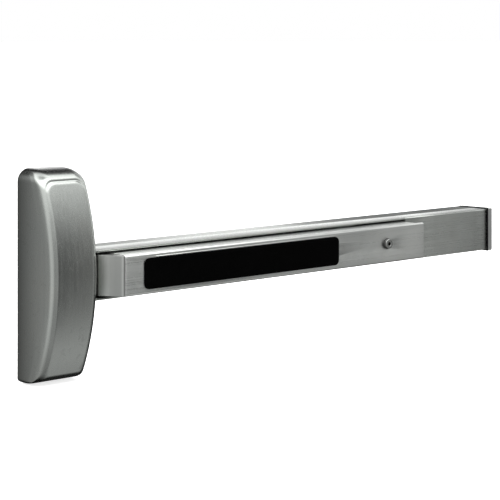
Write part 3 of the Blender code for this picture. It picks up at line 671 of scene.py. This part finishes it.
# surface behind the local front: (inset from the edge, drop)
SIDE_GROOVE = [
    (4.6, 1.59), (5.0, 1.42), (5.3, 1.38), (5.6, 1.36), (5.9, 1.24), (6.3, 0.98),
    (6.8, 0.62), (7.3, 0.31), (7.8, 0.12), (8.4, 0.03), (9.0, 0.0), (40.0, 0.0),
]
TOP_GROOVE = [
    (10.0, 1.3), (10.4, 1.34), (10.8, 1.52), (11.2, 1.58), (11.6, 1.38), (12.1, 0.95),
    (12.7, 0.45), (13.3, 0.15), (14.0, 0.02), (14.8, 0.0), (60.0, 0.0),
]

# (side inset, matching top inset) of each ring of the front, from the outside in
RINGS = [
    (
        EDGE * (1 - math.cos(math.radians(60.0 * i / 14))),
        EDGE * (1 - math.cos(math.radians(88.0 * i / 14))),
    )
    for i in range(15)
] + [
    (5.15, 10.2), (5.3, 10.4), (5.45, 10.6), (5.6, 10.8), (5.75, 11.0), (5.9, 11.2),
    (6.1, 11.4), (6.3, 11.6), (6.55, 11.85), (6.8, 12.1), (7.05, 12.4), (7.3, 12.7),
    (7.55, 13.0), (7.8, 13.3), (8.1, 13.65), (8.4, 14.0), (9.0, 14.8), (10.0, 16.0),
]


def ease(start, stop, value):
    t = max(0.0, min(1.0, (value - start) / (stop - start)))
    return t * t * (3 - 2 * t)


def interpolate(table, value):
    for (a, at_a), (b, at_b) in zip(table, table[1:]):
        if value <= b:
            return at_a + (at_b - at_a) * ((value - a) / (b - a))
    return table[-1][1]


def rolled(inset, radius):
    """Drop of a quarter-round edge, as a share of its full drop."""
    return 1 - math.sin(math.acos(1 - inset / radius))


def side_drop(inset, z, hand):
    """Drop along a long side: a rolled edge, with a faint groove on the -X side."""
    plain = EDGE * rolled(inset, EDGE) if inset < EDGE else 0.0
    if hand > 0 or inset <= SIDE_GROOVE[0][0]:
        return plain
    # the groove fades out towards the bottom and the top
    share = 0.5 * ease(-97.0, -45.0, z) * (1 - ease(46.0, 70.0, z))
    return plain + (interpolate(SIDE_GROOVE, inset) - plain) * share


def top_drop(inset):
    """Drop along the top edge: a deeper roll that ends in a groove."""
    if inset < EDGE:
        return 1.1 + 22.9 * rolled(inset, 10.05)
    return interpolate(TOP_GROOVE, inset)


def bottom_drop(inset):
    return 24.0 * rolled(inset, EDGE) if inset < EDGE else 0.0


def front_depth(z, end, side, top, hand):
    """Depth of the front; end is the up or down share of the outline normal."""
    bowed = DEPTH - FRONT_RADIUS + math.sqrt(FRONT_RADIUS**2 - (z - FRONT_MIDDLE_Z) ** 2)
    weight = end * end
    edge = top_drop(top) if end > 0 else bottom_drop(top)
    return bowed - side_drop(side, z, hand) * (1 - weight) - edge * weight


def half_outline(side, top):
    """The -X half of a ring, bottom to top: (x, z, up or down share of the outline normal)."""
    bottom = min(top, EDGE) + max(0.0, top - EDGE) * 0.5
    x = -HALF_WIDTH + side
    low, high = BOTTOM + bottom, TOP - top
    low_radius = 4.5 + 0.5 * side
    top_radius = 13.0 - 0.45 * side

    def corner(radius, z, start):
        for i in range(CORNER_STEPS + 1):
            turn = math.radians(start - 90 * i / CORNER_STEPS)
            yield x + radius + radius * math.cos(turn), z + radius * math.sin(turn), math.sin(turn)

    start, stop = low + low_radius, high - top_radius
    rows = [start + (-OPEN_Z - start) * i / BELOW_ROWS for i in range(1, BELOW_ROWS)]
    rows += [-OPEN_Z + 2 * OPEN_Z * i / OPEN_ROWS for i in range(OPEN_ROWS + 1)]
    rows += [OPEN_Z + (stop - OPEN_Z) * i / ABOVE_ROWS for i in range(1, ABOVE_ROWS)]
    points = list(corner(low_radius, start, 270))
    points += [(x, z, 0.0) for z in rows]
    return points + list(corner(top_radius, stop, 180))


def wall_rings():
    """Rings of the side walls, from the door forward; +X rows follow the opening."""
    rings = []
    for row in range(WALL_ROWS):
        left, right = [], []
        for x, z, end in half_outline(0.0, 0.0):
            depth = front_depth(z, end, 0.0, 0.0, -1) * (row / WALL_ROWS)
            right_depth = depth
            if abs(z) <= OPEN_Z + 1e-6 and end == 0.0:
                right_depth = OPEN_DEPTH * row / (WALL_ROWS - 1)
            for points, hand, reach in ((left, -1, depth), (right, 1, right_depth)):
                inward = BOW * (reach / BOW_DEPTH) ** 2 * (1 - end * end)
                points.append((-hand * (x + inward), -reach, z))
        rings.append(left + right[::-1])
    return rings


def front_rings():
    rings = []
    for side, top in RINGS:
        left, right = [], []
        for x, z, end in half_outline(side, top):
            inward = BOW * (1 - end * end) * max(0.0, 1 - side / EDGE)
            for points, hand in ((left, -1), (right, 1)):
                points.append((-hand * (x + inward), -front_depth(z, end, side, top, hand), z))
        rings.append(left + right[::-1])
    return rings


def build_cover():
    body = bmesh.new()
    loops = [
        [body.verts.new(Vector(point) * MM) for point in ring]
        for ring in wall_rings() + front_rings()
    ]
    count = len(loops[0])
    half = count // 2
    opening = []
    for level, (outer, inner) in enumerate(zip(loops, loops[1:])):
        for i in range(count):
            j = (i + 1) % count
            face = body.faces.new((outer[i], inner[i], inner[j], outer[j]))
            if level < WALL_ROWS - 1 and i >= half and j >= half:
                if all(abs(vert.co.z / MM) <= OPEN_Z + 0.01 for vert in (outer[i], outer[j])):
                    opening.append(face)
    last = loops[-1]
    for i in range(half - 1):
        body.faces.new((last[i], last[count - 1 - i], last[count - 2 - i], last[i + 1]))
    bmesh.ops.recalc_face_normals(body, faces=body.faces)
    # the shell is open at the door, so make sure that its normals point outwards
    front = min(body.faces, key=lambda face: face.calc_center_median().y)
    if front.normal.y > 0:
        bmesh.ops.reverse_faces(body, faces=body.faces)
    bmesh.ops.delete(body, geom=opening, context="FACES")
    ob = from_bmesh("cover_shell", body)
    shell = ob.modifiers.new("shell", "SOLIDIFY")
    shell.thickness = 1.9 * MM
    shell.offset = -1.0
    shell.use_even_offset = False
    bake(ob)
    cut(ob, *[rod("X", (20, 36), (COVER_SCREW_Y, z), 2.1, 40) for z in COVER_SCREWS.values()])
    return ob


finish_piece(
    build_cover(), COVER_STEEL, "root", "chassis_cover", sharp=40.0, wear=False
)

# ---------------------------------------------------------------- mounting rail and filler

RAIL_LOW, RAIL_HIGH = span("mounting_rail")
RAIL_Z = RAIL_HIGH.z  # half height
RAIL_Y = RAIL_LOW.y  # front edges of the channel
RAIL_WALL = 2.0
FILLER_LOW, FILLER_HIGH = span("rail_filler")
# holes through the rail's back: (x, z, radius)
RAIL_HOLES = [
    (54.0, -12, 2.0), (54.0, 12, 2.0),
    (105.0, -15.6, 1.9), (105.0, 15.6, 1.9), (360.0, -15.6, 1.9), (360.0, 15.6, 1.9),
    (436.0, 0.0, 1.9), (570.0, 0.0, 1.9), (582.0, -12, 2.7), (582.0, 12, 2.7),
]


def build_rail():
    """A channel open to the front, cut lower where the filler sits."""
    inside = RAIL_Z - RAIL_WALL
    outline = [
        (0.0, -RAIL_Z, 0.4), (0.0, RAIL_Z, 0.4), (RAIL_Y, RAIL_Z, 0.7), (RAIL_Y, inside, 0.5),
        (-RAIL_WALL, inside, 0.6), (-RAIL_WALL, -inside, 0.6),
        (RAIL_Y, -inside, 0.5), (RAIL_Y, -RAIL_Z, 0.7),
    ]
    rail = prism("rail_channel", "X", filleted(outline), (RAIL_LOW.x, RAIL_HIGH.x))
    cut(
        rail,
        box((FILLER_LOW.x - 0.3, 620), (-60, -43.8), (-30, 30)),
        *[rod("Y", (-5, 3), (x, z), radius, 32) for x, z, radius in RAIL_HOLES],
    )
    return rail


def build_filler():
    """A front plate with two legs that reach back inside the rail."""
    plate_back, inside_front, leg_back = -44.1, -44.0, -30
    leg_out, leg_in = 21.35, 19.95
    outline = [
        (plate_back, RAIL_Z, 0.15), (RAIL_Y, RAIL_Z, 1.3),
        (RAIL_Y, -RAIL_Z, 1.3), (plate_back, -RAIL_Z, 0.15),
        (plate_back, -leg_out, 0.4), (leg_back, -leg_out, 0.4),
        (leg_back, -leg_in, 0.4), (inside_front, -leg_in, 0.5),
        (inside_front, leg_in, 0.5), (leg_back, leg_in, 0.4),
        (leg_back, leg_out, 0.4), (plate_back, leg_out, 0.4),
    ]
    ends = (FILLER_LOW.x, FILLER_HIGH.x)
    filler = prism("rail_filler_cover", "X", filleted(outline, 7), ends)
    soften(filler, width=0.18, segments=2, angle=60)
    return filler


finish_piece(build_rail(), RAIL_STEEL, "root", "mounting_rail")
finish_piece(build_filler(), RAIL_STEEL, "root", "rail_filler")

# ---------------------------------------------------------------- end cap

CAP_LOW, CAP_HIGH = span("end_cap")
CAP_SCREW_Y, CAP_SCREW_Z = -24.0, 11.0


def tapered(name, x, front, front_z, back_z):
    """A block over the rail's end, with half heights at its front and at the door."""
    outline = [(0.0, -back_z), (front, -front_z), (front, front_z), (0.0, back_z)]
    return prism(name, "X", outline, x)


def build_cap():
    left, right = CAP_LOW.x, CAP_HIGH.x
    front, half = CAP_LOW.y, CAP_HIGH.z
    cap = tapered("end_cap_shell", (left, right), front, half, RAIL_Z + 0.5)
    soften(cap, width=1.2, segments=6)
    cut(cap, box((left - 5, right - 2.6), (front + 1.9, 9), (-half + 2.5, half - 2.5)))

    def at_screws(ends, radius):
        return [rod("X", ends, (CAP_SCREW_Y, z), radius) for z in (-CAP_SCREW_Z, CAP_SCREW_Z)]

    # bosses, then screw holes, counterbores and a gap to the door
    join(cap, *at_screws((605.4, right - 2.0), 4.6))
    cut(
        cap,
        *at_screws((595, 620), 2.0),
        *at_screws((right - 1.9, 620), 3.9),
        box((left - 5, right + 5), (-0.6, 10), (-40, 40)),
    )
    return cap


def build_cap_seal():
    low, high = span("end_cap_gasket")
    seal = tapered("end_cap_seal", (low.x, high.x), low.y, high.z, RAIL_Z + 0.9)
    soften(seal, width=0.4, segments=4)
    through = (low.x - 5, high.x + 5)
    cut(
        seal,
        box(through, (RAIL_Y - 0.3, 9), (-RAIL_Z - 0.3, RAIL_Z + 0.3)),
        box(through, (-1.8, 10), (-40, 40)),
    )
    return seal


finish_piece(build_cap(), CAP_STEEL, "root", "end_cap")
finish_piece(build_cap_seal(), BLACK_SEAL_AND_SOCKET_SHADE, "root", "end_cap_gasket", wear=False)

# ---------------------------------------------------------------- push bar and pad

BAR_LOW, BAR_HIGH = span("push_bar")
BAR_FRONT, BAR_BACK, BAR_Z, BAR_WALL = BAR_LOW.y, BAR_HIGH.y, BAR_HIGH.z, 1.8
FLANGE_END_X = 460.5
KEY_AT = (412.4, 1.0)  # x, z of the dogging key
PAD_LOW, PAD_HIGH = span("push_pad")
SLOT_X, SLOT_Z = (90, 320), 8  # slot in the bar's front, behind the pad


def build_bar():
    """A channel open to the door, with a slot, a key hole and a bead above the pad."""
    inside_y, inside_z = BAR_FRONT + BAR_WALL, BAR_Z - BAR_WALL
    outline = [
        (BAR_BACK, BAR_Z, 0.5), (BAR_FRONT, BAR_Z, 2.2),
        (BAR_FRONT, -BAR_Z, 2.2), (BAR_BACK, -BAR_Z, 0.5),
        (BAR_BACK, -inside_z, 0.5), (inside_y, -inside_z, 0.6),
        (inside_y, inside_z, 0.6), (BAR_BACK, inside_z, 0.5),
    ]
    bar = prism("push_bar_channel", "X", filleted(outline, 9), (BAR_LOW.x, BAR_HIGH.x))
    cut(
        bar,
        box((FLANGE_END_X, 490), (BAR_FRONT + 3.0, -20), (-30, 30)),
        box(SLOT_X, (-75, -60), (-SLOT_Z, SLOT_Z)),
        rod("Y", (-75, -60), KEY_AT, 5.7, 64),
    )
    back, front = BAR_FRONT + 0.6, BAR_FRONT - 0.3
    low, high = PAD_HIGH.z + 0.3, PAD_HIGH.z + 1.3
    bead = [(back, low, 0), (front, low, 0.2), (front, high, 0.45), (back, high, 0)]
    join(bar, prism("bead", "X", filleted(bead, 5), (PAD_LOW.x + 14.0, PAD_HIGH.x - 6.0)))
    soften(bar, width=0.22, segments=3, angle=60)
    return bar


def build_nose():
    """The folded -X end of the bar, slanting back towards the chassis."""
    tip_x, tongue_y = 34.14, -41.2
    outline = [
        (50.35, BAR_FRONT, 0.2), (48.6, BAR_FRONT, 0.6), (tip_x, -45.0, 0.5),
        (tip_x, tongue_y, 0.4), (22, tongue_y, 0.3), (22, BAR_BACK, 0.3), (50.35, BAR_BACK, 0.3),
    ]
    nose = prism("push_bar_nose", "Z", filleted(outline), (-BAR_Z + 0.4, BAR_Z - 0.4))
    soften(nose, width=1.5, segments=6, angle=78)
    inside_y, inside_x, inside_tongue = BAR_FRONT + BAR_WALL, tip_x + BAR_WALL, tongue_y + BAR_WALL
    hollow = [
        (60, inside_y), (49.55, inside_y), (inside_x, -44.0),
        (inside_x, inside_tongue), (10, inside_tongue), (10, -20), (60, -20),
    ]
    cut(nose, prism("hollow", "Z", hollow, (-BAR_Z + BAR_WALL, BAR_Z - BAR_WALL)))
    join(nose, box((48.0, 62), (-64.9, -63.3), (-15, 15)))
    return nose


def pad_loop(inset, y):
    """The pad's outline, drawn in by inset, anticlockwise from the lower -X corner."""
    x0, x1, z = PAD_LOW.x + inset, PAD_HIGH.x - inset, PAD_HIGH.z - inset
    radius = max(0.6, 5.5 - inset)
    corners = [
        (x0 + radius, -z + radius, 180), (x1 - radius, -z + radius, 270),
        (x1 - radius, z - radius, 0), (x0 + radius, z - radius, 90),
    ]
    return [
        (u, y, v)
        for at_x, at_z, start in corners
        for u, v in arc(at_x, at_z, radius, start, start + 90, 12)
    ]


def build_pad():
    """A pad with a rolled rim and a gently crowned face, keyed into the bar's slot."""
    wall, roll_width, roll_depth = 0.9, 1.3, 0.75
    back = BAR_FRONT - 0.3
    crown = back - PAD_LOW.y - 1.66
    levels = [(0.0, back), (0.0, back - wall)]
    for i in range(1, 9):
        turn = math.pi / 2 * i / 8
        levels.append(
            (roll_width * (1 - math.cos(turn)), back - wall - roll_depth * math.sin(turn))
        )
    for inset in (2.0, 3.0, 4.5, 6.5, 7.9):
        rise = math.sin((inset - roll_width) / 8.0 * math.pi / 2)
        levels.append((inset, back - wall - roll_depth - crown * rise))
    pad = loft("grip_pad", [pad_loop(inset, max(y, PAD_LOW.y)) for inset, y in levels])
    gap = 0.4
    key_x = (SLOT_X[0] + gap, SLOT_X[1] - gap)
    join(pad, box(key_x, (back - 0.5, -65.4), (-SLOT_Z + gap, SLOT_Z - gap)))
    return pad


finish_piece(build_bar(), BAR_STEEL, "push_bar", "push_bar")
finish_piece(build_nose(), SLANT_SHADED_STEEL, "push_bar", "push_bar_end")
finish_piece(build_pad(), PAD_RUBBER, "push_bar", "push_pad", sharp=50.0, wear=False)

# ---------------------------------------------------------------- dogging key

# profiles: (radius, y)
COLLAR_PROFILE = [
    (4.35, -63.4), (5.4, -63.4), (5.4, -67.3), (6.0, -67.3), (6.0, -67.6), (5.96, -67.8),
    (5.35, -69.5), (5.25, -69.78), (5.08, -69.98), (4.9, -70.08), (4.75, -70.1),
    (4.6, -70.1), (4.42, -70.02), (4.35, -69.8),
]
BARREL_PROFILE = [
    (0, -52.4), (2.8, -52.4), (3.0, -52.6), (3.0, -57.5), (4.0, -57.5), (4.0, -61.4),
    (3.0, -61.4), (3.0, -62.9), (4.0, -62.9), (4.25, -63.2), (4.25, -69.7), (4.15, -69.84),
    (3.9, -69.9), (2.62, -69.9), (2.4, -69.7), (0, -69.7),
]

collar = turned("dogging_escutcheon", "Y", COLLAR_PROFILE, KEY_AT, 96)
finish_piece(collar, KEY_STEEL, "push_bar", "dogging_rosette", sharp=40.0)
# painted shade: the collar's side gets a near-black copy of the key steel for its shadow and dark
# reflection; its rim and face keep the key steel
repaint(collar, KEY_PAINTED_SHADE, lambda centre: centre.y > -69.45)

barrel = turned("dogging_socket", "Y", BARREL_PROFILE, KEY_AT, 96)
cut(barrel, prism("hexagon", "Y", arc(*KEY_AT, 2.3, 0, 300, 5), (-75, -63.5)))
finish_piece(barrel, KEY_STEEL, "dogging_key", "dogging_barrel", sharp=30.0)
# painted shade: the hexagonal socket's inside faces get the near-black seal rubber
repaint(
    barrel,
    BLACK_SEAL_AND_SOCKET_SHADE,
    lambda centre: -69.65 < centre.y < -63.0
    and math.hypot(centre.x - KEY_AT[0], centre.z - KEY_AT[1]) < 2.4,
)

# ---------------------------------------------------------------- springs


def coil(name, axis, at, low, high, radius, wire, turns, per_turn=40, around=14):
    """A compression spring, tighter at its ends; wire is the wire's radius."""
    count = int(turns * per_turn) + 1
    start, stop = low + wire + 0.05, high - wire - 0.05
    path = []
    for i in range(count):
        share = i / (count - 1)
        turn = 2 * math.pi * turns * share
        eased = share - 0.06 * math.sin(2 * math.pi * share)
        height = start + (stop - start) * eased
        path.append((Vector((radius * math.cos(turn), radius * math.sin(turn), height)), turn))
    loops = []
    for i, (centre, turn) in enumerate(path):
        tangent = (path[min(count - 1, i + 1)][0] - path[max(0, i - 1)][0]).normalized()
        out = Vector((math.cos(turn), math.sin(turn), 0.0))
        side = tangent.cross(out).normalized()
        loop = []
        for k in range(around):
            angle = 2 * math.pi * k / around
            point = centre + out * (wire * math.cos(angle)) + side * (wire * math.sin(angle))
            loop.append(PLACE[axis](at[0] + point.x, at[1] + point.y, point.z))
        loops.append(loop)
    return loft(name, loops)


for side, at in (("left", (80.0, 9.5)), ("right", (332.0, -9.5))):
    spring = coil(
        f"return_coil_{side}", "Y", at, low=-64.8, high=-4.1, radius=4.7, wire=0.65, turns=8
    )
    finish_piece(spring, WIRE, "root", f"return_spring_{side}", wear=False)
    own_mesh(spring)
spring = coil(
    "lift_coil", "Z", (-9.5, -8.0), low=70.4, high=92.1,
    radius=2.2, wire=0.4, turns=6, per_turn=36, around=12,
)
finish_piece(spring, WIRE, "root", "lift_spring", wear=False)
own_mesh(spring)

# ---------------------------------------------------------------- screws


def drive_screw(name, at, ends, head_radius, head_height, shank_radius, recess_radius):
    """An oval-head screw along X, head at +X, with a six-lobed drive and a threaded shank."""
    tip, head_top = ends
    profile = [(0, head_top)]
    for i in range(1, 7):
        turn = math.pi / 2 * i / 6
        crown = head_height * 0.55 * (1 - math.cos(turn))
        profile.append((head_radius * math.sin(turn), head_top - crown))
    under_head = head_top - head_height
    profile += [(head_radius, under_head), (shank_radius, under_head)]
    pitch = 0.8
    root_radius = shank_radius - 0.28
    x = under_head - 1.2
    while x - pitch > tip + 0.6:
        profile += [
            (shank_radius, x), (root_radius, x - pitch * 0.45),
            (root_radius, x - pitch * 0.55), (shank_radius, x - pitch * 0.95),
        ]
        x -= pitch
    profile += [(shank_radius * 0.75, tip), (0, tip)]
    screw = turned(name, "X", profile, at, 48)
    lobes = []
    for i in range(36):
        turn = 2 * math.pi * i / 36
        radius = recess_radius * (0.86 + 0.14 * math.cos(6 * turn))
        lobes.append((at[0] + radius * math.cos(turn), at[1] + radius * math.sin(turn)))
    cut(screw, prism("recess", "X", lobes, (head_top - head_height * 0.75, head_top + 3)))
    return screw


for label, z in COVER_SCREWS.items():
    node = f"cover_screw_{label}"
    screw = drive_screw(
        f"cover_screw_head_{label}", (COVER_SCREW_Y, z), [corner.x for corner in span(node)],
        head_radius=3.8, head_height=1.9, shank_radius=1.7, recess_radius=1.7,
    )
    finish_piece(screw, TURNED_STEEL, "root", node, sharp=32.0)
for label, z in (("upper", CAP_SCREW_Z), ("lower", -CAP_SCREW_Z)):
    node = f"end_cap_screw_{label}"
    screw = drive_screw(
        f"cap_screw_head_{label}", (CAP_SCREW_Y, z), [corner.x for corner in span(node)],
        head_radius=3.5, head_height=1.3, shank_radius=1.6, recess_radius=1.6,
    )
    finish_piece(screw, ZINC, "root", node, sharp=32.0)

# ---------------------------------------------------------------- carried-over CAD pieces

# pins and rivets are turned steel, and whatever else isn't listed is zinc plated
FINISH = {
    "lever_pivot_post": TURNED_STEEL,
    "transfer_lever": CAST, "bell_crank_left": CAST, "bell_crank_right": CAST,
    "bar_stop_left": BUMPER, "bar_stop_right": BUMPER,
    "lever_clip": WIRE, "dogging_clip": WIRE,
}


def finish_cad(name, node):
    """A finish and small bevelled edges for a CAD piece that stays in view."""
    default = TURNED_STEEL if "pin" in name or "rivet" in name else ZINC
    node.data.materials.clear()
    node.data.materials.append(FINISH.get(name, default))
    weld = node.modifiers.new("weld", "WELD")
    weld.merge_threshold = 1e-6
    flat = node.modifiers.new("flat", "DECIMATE")
    flat.decimate_type = "DISSOLVE"
    flat.angle_limit = math.radians(0.8)
    edges = node.modifiers.new("edges", "BEVEL")
    edges.width = 0.14 * MM
    edges.segments = 2
    edges.limit_method = "ANGLE"
    edges.angle_limit = math.radians(38)
    edges.use_clamp_overlap = True


for name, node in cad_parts.items():
    if not node.hide_render:
        finish_cad(name, node)

# ---------------------------------------------------------------- floor


def build_floor():
    """A pale glowing floor, just below the cover, that glossy surfaces don't see."""
    floor_z = BOTTOM * MM - 0.0012
    bpy.ops.mesh.primitive_plane_add(size=120.0, location=(0.3, 1.0, floor_z))
    floor = bpy.context.active_object
    floor.name = "studio_floor"
    made, g, shader = new_material("pale_floor")
    speck = g.noise(g.place(), scale=40.0, detail=5.0, roughness=0.6)
    g.set(shader, {
        "Base Color": g.mix(speck, (0.80, 0.80, 0.80), (0.86, 0.86, 0.86)),
        "Roughness": 0.9, "Specular IOR Level": 0.0,
        "Emission Color": (1.0, 1.0, 1.0), "Emission Strength": 0.72,
    })
    floor.data.materials.append(made)
    floor.visible_glossy = False


build_floor()

# ---------------------------------------------------------------- world

# base glow by height: (elevation in degrees, strength)
SKY = [
    (-90, 0.04), (-72, 0.09), (-58, 0.36), (-40, 0.40), (-22, 0.18), (-4, 0.12), (8, 0.21),
    (22, 0.62), (34, 1.02), (42, 1.75), (54, 3.0), (68, 2.6), (90, 0.6),
]
# soft panels, all in degrees but the strength:
# (azimuth from -Y towards +X, full and zero half widths, elevations where the panel
# fades in, elevations where it fades out, strength)
NEAR_PANELS = [  # two on the camera's side, one to its left and one to its right
    (-56, 8, 40, (-66, -8), None, 0.60),
    (-2, 6, 26, (-66, -8), None, 0.42),
    (-105, 30, 70, (-75, -20), None, 0.34),
    (52, 8, 17, None, None, 0.30),
]
FAR_PANELS = [  # in the dark part of the room, beyond the device
    (102, 20, 34, (-4, 2), (30, 44), 1.1),
    (142, 7, 13, (-6, 0), (14, 28), 2.0),
]


def sine(degrees):
    return math.sin(math.radians(degrees))


def cosine(degrees):
    return math.cos(math.radians(degrees))


def build_world():
    """A painted room for lighting and reflections; the camera itself sees plain white."""
    world = bpy.data.worlds.new("studio")
    SCENE.world = world
    world.use_nodes = True
    g = Graph(world.node_tree)
    ray = g.split(g.add("ShaderNodeTexCoord").outputs["Generated"])
    up = ray["Z"]
    level_squared = g.math("SUBTRACT", 1.0, g.times(up, up))
    across = g.math("SQRT", g.math("MAXIMUM", 1e-6, level_squared))
    flat_x = g.math("DIVIDE", ray["X"], across)
    flat_y = g.math("DIVIDE", ray["Y"], across)

    def fade(elevations, to_start, to_stop):
        start, stop = (sine(elevation) for elevation in elevations)
        return g.range(up, start, stop, to_start, to_stop, smooth=True)

    def with_panels(glow, panels):
        for azimuth, full, zero, fade_in, fade_out, strength in panels:
            aim = g.math(
                "ADD", g.times(flat_x, sine(azimuth)), g.times(flat_y, -cosine(azimuth))
            )
            mask = g.range(aim, start=cosine(zero), stop=cosine(full), smooth=True)
            if fade_in:
                mask = g.times(mask, fade(fade_in, 0.0, 1.0))
            if fade_out:
                mask = g.times(mask, fade(fade_out, 1.0, 0.0))
            glow = g.offset(glow, mask, strength)
        return glow

    def background(strength):
        inputs = {"Color": (1.0, 1.0, 1.0), "Strength": strength}
        return g.add("ShaderNodeBackground", inputs).outputs[0]

    height = g.offset(0.5, up, amount=0.5)
    sky = g.ramp(height, [(0.5 + 0.5 * sine(elevation), glow) for elevation, glow in SKY])
    glow = with_panels(g.add("ShaderNodeRGBToBW", {0: sky}).outputs[0], NEAR_PANELS)
    # the room is dark on the +Y side, except far to -X, up to about 50 degrees
    dark = g.times(
        g.range(ray["Y"], start=-0.12, stop=0.06, smooth=True),
        g.range(ray["X"], start=-0.52, stop=-0.22, smooth=True),
    )
    dark = g.times(dark, fade((46, 54), 1.0, 0.0))
    glow = g.times(glow, g.offset(1.0, dark, amount=-0.93))
    glow = with_panels(glow, FAR_PANELS)
    is_camera = g.add("ShaderNodeLightPath").outputs["Is Camera Ray"]
    choice = g.add("ShaderNodeMixShader", {0: is_camera, 1: background(glow), 2: background(1.0)})
    g.add("ShaderNodeOutputWorld", {"Surface": choice.outputs[0]})


build_world()

# ---------------------------------------------------------------- light and camera


def softbox(name, place, target, size, power):
    data = bpy.data.lights.new(name, "AREA")
    data.shape = "RECTANGLE"
    data.size, data.size_y = size
    data.energy = power
    ob = bpy.data.objects.new(name, data)
    SCENE.collection.objects.link(ob)
    ob.location = place
    ob.rotation_euler = (Vector(target) - Vector(place)).to_track_quat("-Z", "Y").to_euler()
    ob.visible_camera = False


def build_camera():
    """A level long-lens camera on the chassis side, shifted down to frame the device."""
    lens = bpy.data.cameras.new("camera")
    camera = bpy.data.objects.new("camera", lens)
    SCENE.collection.objects.link(camera)
    lens.sensor_fit = "HORIZONTAL"
    lens.sensor_width = 36.0
    lens.lens = 116.53992
    lens.shift_y = -0.42862
    lens.clip_start = 0.01
    lens.clip_end = 300.0
    camera.location = (-0.88232, -1.32343, 0.232)
    camera.rotation_euler = (math.radians(90.0), 0.0, math.radians(-41.0))
    SCENE.camera = camera


softbox(
    "key_softbox", place=(0.2, -0.9, 2.2), target=(0.25, 0.0, 0.0), size=(2.2, 0.9), power=10.0
)

SCENE.view_settings.view_transform = "Standard"
SCENE.view_settings.look = "None"
SCENE.view_settings.exposure = 0.0
SCENE.view_settings.gamma = 1.0

build_camera()
